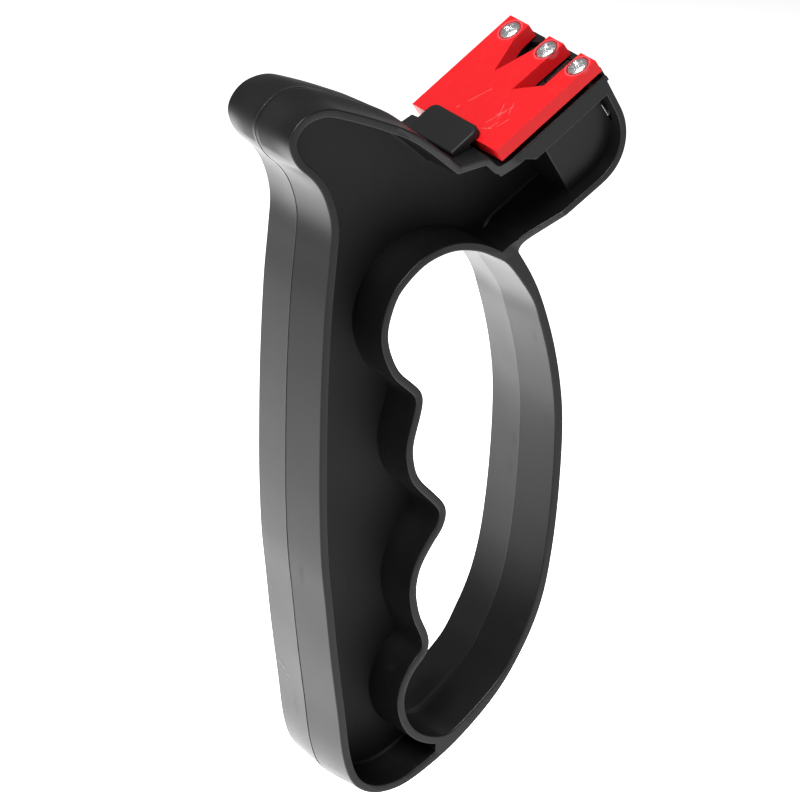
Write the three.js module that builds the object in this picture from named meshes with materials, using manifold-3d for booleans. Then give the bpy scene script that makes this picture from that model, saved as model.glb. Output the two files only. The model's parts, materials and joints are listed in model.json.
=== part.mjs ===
// Hand-held sharpener for knives and scissors, in millimetres, +Z up along the grip.
// The grip lies in the XZ plane and is alike on both sides of Y = 0. A sloping head at the top
// carries a slide-in sharpening cartridge with a knife notch and a scissors notch.
import * as THREE from "three";
import { ConvexGeometry } from "three/addons/geometries/ConvexGeometry.js";
import { mergeVertices } from "three/addons/utils/BufferGeometryUtils.js";
import Module from "manifold-3d";

const wasm = await Module();
wasm.setup();

// ---- driving dimensions --------------------------------------------------------------------
const CLEARANCE = 0.3; // between pieces that touch or slide
const OVERCUT = 2; // how far a cutting tool reaches past what it cuts

// Grip: an I-section moulding with a thin web and a rim all round.
const GRIP_THICKNESS = 23.7; // across the rim, along Y
const WEB_THICKNESS = 2.6;
const RIM_WALL = 1.7; // rim wall at its outer face
const DRAFT = 0.068; // the rim grows towards the parting plane by this share of the depth
const PARTING_LAND = 0.4; // flat band on the parting plane
const BACK_X = -26; // the palm side of the grip
const THUMB_REST_REACH = 9.5; // how far the thumb rest stands out past the neck
const FINGER_PITCH = 26.7; // between the ridges that part the fingers
const FINGER_DEPTH = 8.2; // ridge to hollow in the finger grip
const FIRST_RIDGE_Z = 4.7;
const OPENING_TOP_Z = 34.7;
const GUARD_X = 31.3; // outside of the knuckle guard at its widest
const GUARD_THICKNESS = 2.1; // at the top of the guard's face
const GUARD_THICKNESS_LOW = 1.5; // at the bottom
const HEEL_GUSSET_X = 1.1; // the rim is solid from here to the guard

// Head: tilted by HEAD_ANGLE about Y. Its own axes are s along the cartridge, t out of its face.
const HEAD_ANGLE = THREE.MathUtils.degToRad(31.75);
const HEAD_X = 14.1; // inner corner of the cartridge seat
const HEAD_Z = 51.9;
const HEAD_DEPTH = 19.65; // seat to the underside of the head
const HEAD_NOSE = 11; // reach of the rounded lower corner
const FLARE_ANGLE = THREE.MathUtils.degToRad(41); // the grip widens into the head this way
const FLARE_LENGTH = 11.4; // from the neck on
const FLARE_CUTTER_REACH = 400; // farther than any point of the grip
const SEAT_THICKNESS = 4;
const SEAT_THIN = 2.2;
const SEAT_STEP = 5; // the seat is thin up to here
const SEAT_SPARE = 0.5; // left on the drafted blank, then cut flat
const TRAY_WALL = 1.4; // side walls of the cartridge well
const TRAY_FLOOR = 1.2;
const WELL_START = 11.7;
const RAIL_HEIGHT = 1;
const RAIL_REACH = 0.6; // rails on the cartridge sides that hold it down
const NECK_GUSSET = 11; // solid stretch where the guard meets the head
const NECK_GUSSET_TOP = 1.75; // above the underside of the head
const SLOT_BOX_HALF = 12.2; // half width of the box around the blade slots
const SLOT_BOX_START = 10.3;
const NOSE_CHANNEL = 1.3; // gap between that box and the end wall, at its top
const NOSE_CHANNEL_DEPTH = 9;
const RIDGE_RUN = 5.4; // sloping ledge behind the cartridge
const RIDGE_HEIGHT = 3.3;
const RIDGE_RISE = 1.8;

// Cartridge
const CARTRIDGE_LENGTH = 27.3;
const CARTRIDGE_WIDTH = 31.1;
const COVER_THICKNESS = 2.85;
const COVER_LIFT = 1.3; // underside of the cover above the seat
const END_GAP = 0.7; // cover to the end of its seat
const NOSE_OVERHANG = 0.7; // the carrier stands out past the cover
const KNIFE_Y = 5; // middle of the knife notch
const KNIFE_DEPTH = 12.3;
const KNIFE_MOUTH = 3.8; // half width
const SCISSORS_Y = -7.1;
const SCISSORS_DEPTH = 14;
const SCISSORS_MOUTH = 3.1;
const SCISSORS_STRAIGHT = 10; // straight stretch of the near wall
const NOTCH_SLOPE = 0.35; // each wall leans in this much
const BLADE_CROSSING = 6.3; // the blades cross this far from the end of the cover
const SLOT_WIDTH = 2.6;
const SLOT_DEPTH = 13.2;
const SCREW_HEAD_DIAMETER = 4.4;
const SCREW_HEAD_HEIGHT = 1.1;
const SCREW_SHANK_DIAMETER = 2.2;
const SCREW_LENGTH = 5.2;
const SCREW_INSET = 2.9; // from the end of the cover
const DRIVE_WIDTH = 0.75;
const DRIVE_SPAN = 3;
const DRIVE_DEPTH = 0.6;
const BLADE_THICKNESS = 0.9;
const BLADE_WIDTH = 2.4;
const BLADE_LENGTH = 6.4;
const BLADE_OVERRUN = 1.1; // past the point where two blades cross

// Latch tongue over the inner end of the cartridge
const LATCH_WIDTH = 17;
const LATCH_THICKNESS = 1.6;
const LATCH_LAP = 2; // over the end of the cover
const LATCH_LENGTH = 7.9;
const LATCH_ROOT = 4.2;
const LATCH_CORNER = 2;

// ---- derived dimensions --------------------------------------------------------------------
const GRIP_HALF = GRIP_THICKNESS / 2;
const WEB_HALF = WEB_THICKNESS / 2;
const HEAD_HALF = CARTRIDGE_WIDTH / 2;
const HEAD_LENGTH = END_GAP + CARTRIDGE_LENGTH + CLEARANCE;
const COVER_TOP = COVER_LIFT + COVER_THICKNESS;
const WELL_FLOOR = TRAY_FLOOR - SEAT_THICKNESS;
const WELL_HALF = HEAD_HALF - TRAY_WALL;
const CARRIER_HALF = WELL_HALF - CLEARANCE;
const CARRIER_TOP = COVER_LIFT - CLEARANCE;
const RAIL_FLOOR = WELL_FLOOR + 2 * CLEARANCE;
const COVER_END = END_GAP + CARTRIDGE_LENGTH;
const SLOT_START = COVER_END - SLOT_DEPTH;
const SCREW_S = COVER_END - SCREW_INSET;
const LOWER_BLADE_T = WELL_FLOOR + CLEARANCE + 1.3;
const UPPER_BLADE_T = LOWER_BLADE_T + BLADE_THICKNESS + CLEARANCE;
const CROSSING_S = COVER_END - BLADE_CROSSING;
const LATCH_TIP = END_GAP + LATCH_LAP;
const LATCH_START = LATCH_TIP - LATCH_LENGTH;
const LATCH_UNDERSIDE = COVER_TOP + CLEARANCE;
const LATCH_ROOT_FLOOR = LATCH_UNDERSIDE - 0.65;

// ---- finishes ------------------------------------------------------------------------------
const blackPlastic = () =>
  new THREE.MeshStandardMaterial({ color: 0x2b2b2e, roughness: 0.5, metalness: 0 });
const redPlastic = () =>
  new THREE.MeshStandardMaterial({ color: 0xf0282e, roughness: 0.35, metalness: 0 });
const nickel = () =>
  new THREE.MeshStandardMaterial({ color: 0xc9ccd0, roughness: 0.25, metalness: 1 });
const carbide = () =>
  new THREE.MeshStandardMaterial({ color: 0x6f7276, roughness: 0.35, metalness: 1 });

// ---- solids --------------------------------------------------------------------------------
// A closed geometry as a solid for joining and cutting.
function toSolid(geometry) {
  const bare = new THREE.BufferGeometry();
  const source = geometry.index ? geometry.toNonIndexed() : geometry;
  bare.setAttribute("position", source.getAttribute("position"));
  const merged = mergeVertices(bare, 1e-4);
  return new wasm.Manifold(
    new wasm.Mesh({
      numProp: 3,
      vertProperties: merged.attributes.position.array,
      triVerts: new Uint32Array(merged.index.array),
    }),
  );
}

function toGeometry(solid) {
  const mesh = solid.getMesh();
  const geometry = new THREE.BufferGeometry();
  geometry.setAttribute("position", new THREE.BufferAttribute(mesh.vertProperties, 3));
  geometry.setIndex(new THREE.BufferAttribute(mesh.triVerts, 1));
  return geometry;
}

function cut(solid, ...tools) {
  return tools.reduce((rest, tool) => rest.subtract(tool), solid);
}

function join(solid, ...others) {
  return others.reduce((sum, other) => sum.add(other), solid);
}

function namedMesh(name, solid, material) {
  const mesh = new THREE.Mesh(toGeometry(solid), material);
  mesh.name = name;
  return mesh;
}

// An outline in the XZ plane, drawn as (x, z), extruded along Y from yFrom to yTo.
function acrossY(points, yFrom, yTo) {
  const geometry = new THREE.ExtrudeGeometry(new THREE.Shape(points), {
    depth: yTo - yFrom,
    bevelEnabled: false,
  });
  geometry.rotateX(Math.PI / 2);
  geometry.translate(0, yTo, 0);
  return toSolid(geometry);
}

// The same, as wide as halfWidth each side, with walls that lean out towards the parting plane.
// The outline is exact at the depth where the grip's rim ends.
function draftedAcrossY(points, halfWidth) {
  const run = halfWidth - PARTING_LAND / 2;
  const geometry = new THREE.ExtrudeGeometry(new THREE.Shape(points), {
    depth: PARTING_LAND,
    bevelThickness: run,
    bevelSize: DRAFT * run,
    bevelOffset: -DRAFT * (halfWidth - GRIP_HALF),
    bevelSegments: 1,
  });
  geometry.rotateX(Math.PI / 2);
  geometry.translate(0, PARTING_LAND / 2, 0);
  return toSolid(geometry);
}

// Moves a closed, counter-clockwise outline outwards by distance, with sharp corners kept.
function offsetOutline(points, distance) {
  const count = points.length;
  return points.map((point, i) => {
    const before = point.clone().sub(points[(i + count - 1) % count]).normalize();
    const after = points[(i + 1) % count].clone().sub(point).normalize();
    const normal = new THREE.Vector2(before.y + after.y, -before.x - after.x).normalize();
    const stretch = Math.max(0.5, normal.x * after.y - normal.y * after.x);
    return point.clone().addScaledVector(normal, distance / stretch);
  });
}

// Drops points closer together than gap.
function thinned(points, gap) {
  const kept = [];
  for (const point of points) {
    if (!kept.length || point.distanceTo(kept[kept.length - 1]) > gap) kept.push(point);
  }
  while (kept[0].distanceTo(kept[kept.length - 1]) <= gap) kept.pop();
  return kept;
}

// ---- head frame ----------------------------------------------------------------------------
const headFrame = new THREE.Group();
headFrame.position.set(HEAD_X, 0, HEAD_Z);
headFrame.rotation.y = -HEAD_ANGLE;
headFrame.updateMatrix();

// A point of the head's own s, t axes as an (x, z) point.
function headPoint(s, t) {
  const place = new THREE.Vector3(s, 0, t).applyMatrix4(headFrame.matrix);
  return new THREE.Vector2(place.x, place.z);
}

// A box between two corners (s, y, t).
function box(sFrom, sTo, yFrom, yTo, tFrom, tTo) {
  const geometry = new THREE.BoxGeometry(sTo - sFrom, yTo - yFrom, tTo - tFrom);
  geometry.translate((sFrom + sTo) / 2, (yFrom + yTo) / 2, (tFrom + tTo) / 2);
  return toSolid(geometry);
}

// A flat outline drawn as (s, y), extruded from tFrom to tTo.
function plate(points, tFrom, tTo) {
  const geometry = new THREE.ExtrudeGeometry(new THREE.Shape(points), {
    depth: tTo - tFrom,
    bevelEnabled: false,
    curveSegments: 6,
  });
  geometry.translate(0, 0, tFrom);
  return toSolid(geometry);
}

// A solid given in the axes of a tilted frame, turned into the grip's axes.
function inGrip(solid, frame = headFrame) {
  frame.updateMatrix();
  const geometry = toGeometry(solid);
  geometry.applyMatrix4(frame.matrix);
  return toSolid(geometry);
}

function points(list) {
  return list.map(([x, y]) => new THREE.Vector2(x, y));
}

// ---- outlines of the grip ------------------------------------------------------------------
// Heights down the grip count in finger pitches below the first ridge.
const gripZ = (pitches) => FIRST_RIDGE_Z - pitches * FINGER_PITCH;

const NECK_X = BACK_X + 3;
const TIP_X = NECK_X - THUMB_REST_REACH;
const NECK_JOIN = headPoint(-5.3, -HEAD_DEPTH - 1.05);

// Top edge, thumb rest and palm side, from the head down to the heel.
const backPoints = [
  ...points([
    [-2.8, 60.9],
    [-11, 65.4],
    [-19, 69],
    [TIP_X + 8.7, 70.6],
    [TIP_X + 4, 70],
    [TIP_X + 1, 67.6],
    [TIP_X, 64.4],
    [TIP_X + 1.8, 60],
    [TIP_X + 5.5, 56.2],
    [NECK_X - 1.5, 51.9],
    [NECK_X, 45.6],
    [NECK_X - 0.5, 38.5],
    [BACK_X + 1.4, 28],
    [BACK_X + 0.5, 13],
  ]),
  ...points([
    [BACK_X + 0.1, gripZ(0.2)],
    [BACK_X, gripZ(0.7)],
    [BACK_X + 0.4, gripZ(1.15)],
    [BACK_X + 1.3, gripZ(1.5)],
    [BACK_X + 2.5, gripZ(1.95)],
    [BACK_X + 4, gripZ(2.4)],
    [BACK_X + 5.3, gripZ(2.78)],
    [BACK_X + 7.4, gripZ(3)],
    [BACK_X + 11, gripZ(3.115)],
    [BACK_X + 16, gripZ(3.15)],
  ]),
];

// Knuckle guard's outer edge, from the heel up to the neck of the head.
const guardPoints = [
  ...points([
    [GUARD_X - 35.4, gripZ(3.1)],
    [GUARD_X - 25.7, gripZ(2.9)],
    [GUARD_X - 15.9, gripZ(2.59)],
    [GUARD_X - 9.2, gripZ(2.25)],
    [GUARD_X - 4.7, gripZ(1.89)],
    [GUARD_X - 2.2, gripZ(1.47)],
    [GUARD_X - 0.7, gripZ(1.0)],
    [GUARD_X, gripZ(0.5)],
  ]),
  ...points([
    [GUARD_X - 0.6, 0.9],
    [GUARD_X - 2.4, 10.8],
    [GUARD_X - 5.1, 20],
    [GUARD_X - 7.6, 25.9],
  ]),
  NECK_JOIN,
];

function gripOutline() {
  const ledge = headPoint(-END_GAP - RIDGE_RUN, RIDGE_HEIGHT + RIDGE_RISE);
  const lowerStart = headPoint(-1.9, 0.4 - HEAD_DEPTH);
  const neckBend = headPoint(-5.2, 0.4 - HEAD_DEPTH);
  const noseStart = headPoint(HEAD_LENGTH - HEAD_NOSE - 1, -HEAD_DEPTH);
  const noseBend = headPoint(HEAD_LENGTH - 5.4, -HEAD_DEPTH);
  const noseBend2 = headPoint(HEAD_LENGTH - 0.9, 5.4 - HEAD_DEPTH);
  const noseEnd = headPoint(HEAD_LENGTH - 0.6, HEAD_NOSE - HEAD_DEPTH);
  const path = new THREE.Path();
  path.moveTo(ledge.x, ledge.y);
  path.splineThru([...backPoints, ...guardPoints]);
  path.quadraticCurveTo(neckBend.x, neckBend.y, lowerStart.x, lowerStart.y);
  path.lineTo(noseStart.x, noseStart.y);
  path.bezierCurveTo(noseBend.x, noseBend.y, noseBend2.x, noseBend2.y, noseEnd.x, noseEnd.y);
  for (const corner of [
    headPoint(HEAD_LENGTH, SEAT_SPARE),
    headPoint(0, SEAT_SPARE),
    headPoint(-END_GAP, RIDGE_HEIGHT),
    ledge,
  ]) {
    path.lineTo(corner.x, corner.y);
  }
  return thinned(path.getPoints(5), 0.3);
}

// Finger side of the opening, from its top down to its bottom, then up the guard's inner edge.
function openingOutline() {
  const hollow = -1.8 - FINGER_DEPTH;
  const fingerPoints = [
    ...points([
      [6.4, OPENING_TOP_Z],
      [2.6, OPENING_TOP_Z - 0.2],
      [-1.4, OPENING_TOP_Z - 1.5],
      [hollow + 5, OPENING_TOP_Z - 4.1],
      [hollow + 2, OPENING_TOP_Z - 7.6],
      [hollow, OPENING_TOP_Z - 14.8],
      [hollow + 2.1, FIRST_RIDGE_Z + 8],
      [hollow + 5.7, FIRST_RIDGE_Z + 4],
      [-2.4, FIRST_RIDGE_Z + 2],
      [-1.8, FIRST_RIDGE_Z],
      [-2.3, FIRST_RIDGE_Z - 3],
    ]),
    ...points([
      [-4, gripZ(0.34)],
      [-4, gripZ(0.48)],
      [-2.8, gripZ(0.63)],
      [1.2, gripZ(0.8)],
      [3.2, gripZ(0.89)],
      [3.7, gripZ(0.98)],
      [2.7, gripZ(1.09)],
      [0.4, gripZ(1.2)],
      [-2.4, gripZ(1.37)],
      [-3.4, gripZ(1.55)],
      [-2.6, gripZ(1.75)],
      [-0.9, gripZ(1.9)],
      [-0.3, gripZ(2)],
      [-1, gripZ(2.09)],
      [-4.2, gripZ(2.22)],
      [-6.2, gripZ(2.4)],
      [-5.6, gripZ(2.58)],
      [-3, gripZ(2.72)],
      [1.5, gripZ(2.8)],
      [6, gripZ(2.77)],
    ]),
  ];
  const guard = new THREE.SplineCurve(guardPoints);
  const innerPoints = [];
  for (let at = 0.19; at < 0.87; at += 0.06) {
    const out = guard.getTangent(at);
    const wall = THREE.MathUtils.lerp(GUARD_THICKNESS_LOW, GUARD_THICKNESS, at);
    innerPoints.push(guard.getPoint(at).add(new THREE.Vector2(-out.y, out.x).multiplyScalar(wall)));
  }
  const topRight = points([
    [GUARD_X - 12.9, OPENING_TOP_Z - 5.8],
    [GUARD_X - 16.4, OPENING_TOP_Z - 3.2],
    [GUARD_X - 20.3, OPENING_TOP_Z - 1.1],
  ]);
  const opening = new THREE.SplineCurve([
    ...fingerPoints,
    ...innerPoints,
    ...topRight,
    fingerPoints[0],
  ]);
  return thinned(opening.getPoints(170), 0.3);
}

// ---- grip and head, one moulding -----------------------------------------------------------
function gripBody(outline, opening) {
  const body = draftedAcrossY(outline, HEAD_HALF);
  // The opening narrows towards the parting plane, so its two halves are cut one from each side.
  const run = HEAD_HALF + OVERCUT;
  const narrow = offsetOutline(opening, -DRAFT * GRIP_HALF);
  const halves = [1, -1].map((side) => openingHalf(opening, narrow, side, run));
  return cut(body, ...halves);
}

// One half of the opening's cutter: from the narrow outline on the parting plane to the full one
// at the rim's face, and on past it.
function openingHalf(full, narrow, side, run) {
  const wide = offsetOutline(full, DRAFT * (run - GRIP_HALF));
  const count = full.length;
  const corners = [];
  for (const point of narrow) corners.push(point.x, 0, point.y);
  for (const point of wide) corners.push(point.x, side * run, point.y);
  const faces = [];
  const caps = THREE.ShapeUtils.triangulateShape(full, []);
  for (const [a, b, c] of caps) {
    faces.push(a, c, b);
    faces.push(count + a, count + b, count + c);
  }
  for (let i = 0; i < count; i += 1) {
    const next = (i + 1) % count;
    faces.push(i, next, count + next);
    faces.push(i, count + next, count + i);
  }
  if (side > 0) faces.reverse();
  const geometry = new THREE.BufferGeometry();
  geometry.setAttribute("position", new THREE.Float32BufferAttribute(corners, 3));
  geometry.setIndex(faces);
  return toSolid(geometry);
}

// The hollow of one side between the rim, the web, the seat and the box around the blade slots.
function sideRecess(outline, opening, side) {
  const yFrom = side > 0 ? WEB_HALF : -HEAD_HALF - OVERCUT;
  const yTo = side > 0 ? HEAD_HALF + OVERCUT : -WEB_HALF;
  const recess = acrossY(offsetOutline(outline, -RIM_WALL), yFrom, yTo);
  const around = acrossY(offsetOutline(opening, RIM_WALL), yFrom - 1, yTo + 1);
  const far = HEAD_LENGTH + OVERCUT;
  const seatList = [
    [-RIM_WALL, OVERCUT],
    [-RIM_WALL / 2, -SEAT_THIN],
    [SEAT_STEP, -SEAT_THIN],
    [SEAT_STEP + SEAT_THICKNESS - SEAT_THIN, -SEAT_THICKNESS],
    [far, -SEAT_THICKNESS],
    [far, OVERCUT],
  ];
  const neckList = [
    [-NECK_GUSSET, -HEAD_DEPTH + NECK_GUSSET_TOP],
    [-NECK_GUSSET, -HEAD_DEPTH - NECK_GUSSET],
    [1, -HEAD_DEPTH - NECK_GUSSET],
    [1, -HEAD_DEPTH + NECK_GUSSET_TOP],
  ];
  const solidParts = [seatList, neckList].map((list) =>
    inGrip(plateAcross(list, yFrom - 1, yTo + 1)),
  );
  const heelList = [
    [HEEL_GUSSET_X, gripZ(2.75)],
    [HEEL_GUSSET_X, gripZ(3.4)],
    [GUARD_X, gripZ(3.4)],
    [GUARD_X, gripZ(2.75)],
  ];
  const heel = plateAcross(heelList, yFrom - 1, yTo + 1);
  const slotBox = inGrip(
    box(SLOT_BOX_START, HEAD_LENGTH, -SLOT_BOX_HALF, SLOT_BOX_HALF, -HEAD_DEPTH - 2, 0),
  );
  return cut(recess, around, ...solidParts, heel, slotBox);
}

// An outline drawn as (s, t) in the head's axes, extruded along Y.
function plateAcross(list, yFrom, yTo) {
  return acrossY(points(list), yFrom, yTo);
}

// Wedges that take the grip down from the head's width to its own.
function flareCutter(side) {
  const far = HEAD_HALF + 3 * OVERCUT;
  const outline = points([
    [-FLARE_CUTTER_REACH, GRIP_HALF],
    [0, GRIP_HALF],
    [FLARE_LENGTH, HEAD_HALF],
    [FLARE_LENGTH, far],
    [-FLARE_CUTTER_REACH, far],
  ]);
  const shape = side > 0 ? outline : outline.map((p) => new THREE.Vector2(p.x, -p.y)).reverse();
  const flareFrame = new THREE.Group();
  flareFrame.position.set(NECK_JOIN.x, 0, NECK_JOIN.y);
  flareFrame.rotation.y = -FLARE_ANGLE;
  return inGrip(plate(shape, -FLARE_CUTTER_REACH, FLARE_CUTTER_REACH), flareFrame);
}

// Everything above the seat and in front of the ledge, cut flat and square to the head.
function seatCutter() {
  const far = HEAD_LENGTH + OVERCUT;
  const high = COVER_TOP + 2 * OVERCUT;
  const list = [
    [0, 0],
    [far, 0],
    [far, high],
    [-END_GAP, high],
    [-END_GAP, RIDGE_HEIGHT],
  ];
  return plateAcross(list, -HEAD_HALF - OVERCUT, HEAD_HALF + OVERCUT);
}

function headCuts() {
  const deep = -HEAD_DEPTH - 3 * OVERCUT;
  const far = HEAD_LENGTH + OVERCUT;
  const well = box(WELL_START, far, -WELL_HALF, WELL_HALF, WELL_FLOOR, OVERCUT);
  const railHalf = WELL_HALF + RAIL_REACH;
  const railTop = RAIL_FLOOR + RAIL_HEIGHT + CLEARANCE;
  const rails = box(WELL_START, far, -railHalf, railHalf, RAIL_FLOOR - CLEARANCE, railTop);
  const half = SLOT_WIDTH / 2;
  const slots = [KNIFE_Y, SCISSORS_Y].map((middle) =>
    box(SLOT_START, far, middle - half, middle + half, deep, OVERCUT),
  );
  const channelEnd = HEAD_LENGTH - RIM_WALL;
  const channels = [KNIFE_Y, SCISSORS_Y].map((middle) => {
    const side = Math.sign(middle);
    const [near, wide] = [middle + side * (half - 0.2), side * (SLOT_BOX_HALF + 0.5)];
    return box(
      channelEnd - NOSE_CHANNEL,
      channelEnd,
      Math.min(near, wide),
      Math.max(near, wide),
      -SEAT_THICKNESS - NOSE_CHANNEL_DEPTH,
      -SEAT_THICKNESS,
    );
  });
  const root = box(
    LATCH_START - CLEARANCE,
    LATCH_START + LATCH_ROOT + 2 * OVERCUT,
    -LATCH_WIDTH / 2 - CLEARANCE,
    LATCH_WIDTH / 2 + CLEARANCE,
    LATCH_ROOT_FLOOR - 0.5,
    COVER_TOP + 3 * OVERCUT,
  );
  return [seatCutter(), well, rails, ...slots, ...channels, root].map((tool) => inGrip(tool));
}

function handleFrame() {
  const outline = gripOutline();
  const opening = openingOutline();
  const blank = gripBody(outline, opening);
  const recesses = [1, -1].map((side) => sideRecess(outline, opening, side));
  const flares = [1, -1].map(flareCutter);
  return cut(blank, ...recesses, ...flares, ...headCuts());
}

// ---- latch ---------------------------------------------------------------------------------
function latchTab() {
  const half = LATCH_WIDTH / 2;
  const shape = new THREE.Shape();
  shape.moveTo(LATCH_START, -half);
  shape.lineTo(LATCH_TIP - LATCH_CORNER, -half);
  shape.absarc(LATCH_TIP - LATCH_CORNER, LATCH_CORNER - half, LATCH_CORNER, -Math.PI / 2, 0, false);
  shape.absarc(LATCH_TIP - LATCH_CORNER, half - LATCH_CORNER, LATCH_CORNER, 0, Math.PI / 2, false);
  shape.lineTo(LATCH_START, half);
  const top = LATCH_UNDERSIDE + LATCH_THICKNESS;
  const tongue = plate(shape.getPoints(6), LATCH_UNDERSIDE, top);
  const rootEnd = LATCH_START + LATCH_ROOT;
  const root = box(LATCH_START, rootEnd, -half, half, LATCH_ROOT_FLOOR, LATCH_UNDERSIDE + 0.4);
  return join(tongue, root);
}

// ---- cartridge -----------------------------------------------------------------------------
const screwPlaces = [11.9, -1.45, -12.75];

function cylinder(s, y, radius, tFrom, tTo, sides = 28) {
  const geometry = new THREE.CylinderGeometry(radius, radius, tTo - tFrom, sides);
  geometry.rotateX(Math.PI / 2);
  geometry.translate(s, y, (tFrom + tTo) / 2);
  return toSolid(geometry);
}

// A flared notch: straight down through hull points at the face and on the underside.
function notchCutter(face, under) {
  const top = COVER_TOP + 0.2;
  const bottom = COVER_LIFT - 0.2;
  const corners = [
    ...face.map(([s, y]) => new THREE.Vector3(s, y, top)),
    ...under.map(([s, y]) => new THREE.Vector3(s, y, bottom)),
  ];
  return toSolid(new ConvexGeometry(corners));
}

function coverPlate() {
  const half = CARTRIDGE_WIDTH / 2;
  const body = box(END_GAP, COVER_END, -half, half, COVER_LIFT, COVER_TOP);
  const past = COVER_END + OVERCUT;
  const bend = COVER_END - 4.3; // the knife notch is nearly parallel from here
  const knifeHalves = [
    [COVER_END - KNIFE_DEPTH, 0],
    [bend, KNIFE_MOUTH - 0.3],
    [past, KNIFE_MOUTH],
  ];
  const knifeFace = knifeHalves.flatMap(([s, half]) => [
    [s, KNIFE_Y + half],
    [s, KNIFE_Y - half],
  ]);
  const knifeUnder = knifeHalves.flatMap(([s, half]) => [
    [s < bend ? s + 1.2 : s, KNIFE_Y + Math.max(0, half - NOTCH_SLOPE)],
    [s < bend ? s + 1.2 : s, KNIFE_Y - Math.max(0, half - NOTCH_SLOPE)],
  ]);
  const knife = notchCutter(knifeFace, knifeUnder);
  const scissorsFace = [
    [COVER_END - SCISSORS_DEPTH, SCISSORS_Y + SCISSORS_MOUTH + 0.3],
    [past, SCISSORS_Y + SCISSORS_MOUTH],
    [past, SCISSORS_Y - SCISSORS_MOUTH],
    [COVER_END - SCISSORS_STRAIGHT, SCISSORS_Y - SCISSORS_MOUTH + 0.2],
  ];
  const scissorsUnder = scissorsFace.map(([s, y]) => [
    s < past ? s + 2 * NOTCH_SLOPE : s,
    y - Math.sign(y - SCISSORS_Y) * NOTCH_SLOPE,
  ]);
  const scissors = notchCutter(scissorsFace, scissorsUnder);
  const holes = screwPlaces.map((y) =>
    cylinder(SCREW_S, y, SCREW_SHANK_DIAMETER / 2 + CLEARANCE, COVER_LIFT - 1, COVER_TOP + 1),
  );
  const seats = screwPlaces.map((y) =>
    cylinder(
      SCREW_S,
      y,
      SCREW_HEAD_DIAMETER / 2 + CLEARANCE,
      COVER_TOP - SCREW_HEAD_HEIGHT / 2 - CLEARANCE,
      COVER_TOP + 1,
    ),
  );
  return cut(body, knife, scissors, ...holes, ...seats);
}

// Blades of each notch: which way they lean and in which layer they lie.
const bladeLayouts = [
  { name: "knife_carbide_lower", y: KNIFE_Y, lean: 18, side: 1, base: LOWER_BLADE_T },
  { name: "knife_carbide_upper", y: KNIFE_Y, lean: 18, side: -1, base: UPPER_BLADE_T },
  { name: "scissor_carbide_lower", y: SCISSORS_Y, lean: 18, side: -1, base: LOWER_BLADE_T },
  { name: "scissor_carbide_upper", y: SCISSORS_Y, lean: 4, side: 1, base: UPPER_BLADE_T },
];

// A blade's outline grown by room on all sides, lying beside the line that its edge follows.
function bladeOutline({ y, lean, side }, room) {
  const angle = THREE.MathUtils.degToRad(lean);
  const along = new THREE.Vector2(Math.cos(angle), side * Math.sin(angle));
  const across = new THREE.Vector2(-Math.sin(angle), side * Math.cos(angle));
  const from = new THREE.Vector2(CROSSING_S, y);
  const corner = (a, b) => from.clone().addScaledVector(along, a).addScaledVector(across, b);
  const near = -BLADE_OVERRUN - room;
  const far = BLADE_LENGTH - BLADE_OVERRUN + room;
  const outline = [
    corner(near, -room),
    corner(far, -room),
    corner(far, BLADE_WIDTH + room),
    corner(near, BLADE_WIDTH + room),
  ];
  return side > 0 ? outline : outline.reverse();
}

function carrier() {
  const nose = COVER_END + NOSE_OVERHANG;
  const half = CARRIER_HALF;
  const deck = box(END_GAP + CLEARANCE, nose, -half, half, CLEARANCE, CARRIER_TOP);
  const floor = WELL_FLOOR + CLEARANCE;
  const start = WELL_START + CLEARANCE;
  const block = box(start, nose, -half, half, floor, CARRIER_TOP - 0.1);
  const railHalf = half + RAIL_REACH;
  const rails = box(start, nose, -railHalf, railHalf, RAIL_FLOOR, RAIL_FLOOR + RAIL_HEIGHT);
  const slot = SLOT_WIDTH / 2;
  const slots = [KNIFE_Y, SCISSORS_Y].map((middle) =>
    box(SLOT_START, nose + 1, middle - slot, middle + slot, floor - 1, COVER_TOP),
  );
  const pockets = bladeLayouts.map((layout) =>
    plate(bladeOutline(layout, CLEARANCE), layout.base - CLEARANCE, COVER_TOP),
  );
  const holes = screwPlaces.map((y) =>
    cylinder(SCREW_S, y, SCREW_SHANK_DIAMETER / 2 + CLEARANCE, floor - 1, COVER_TOP),
  );
  return cut(join(deck, block, rails), ...slots, ...pockets, ...holes);
}

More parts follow.
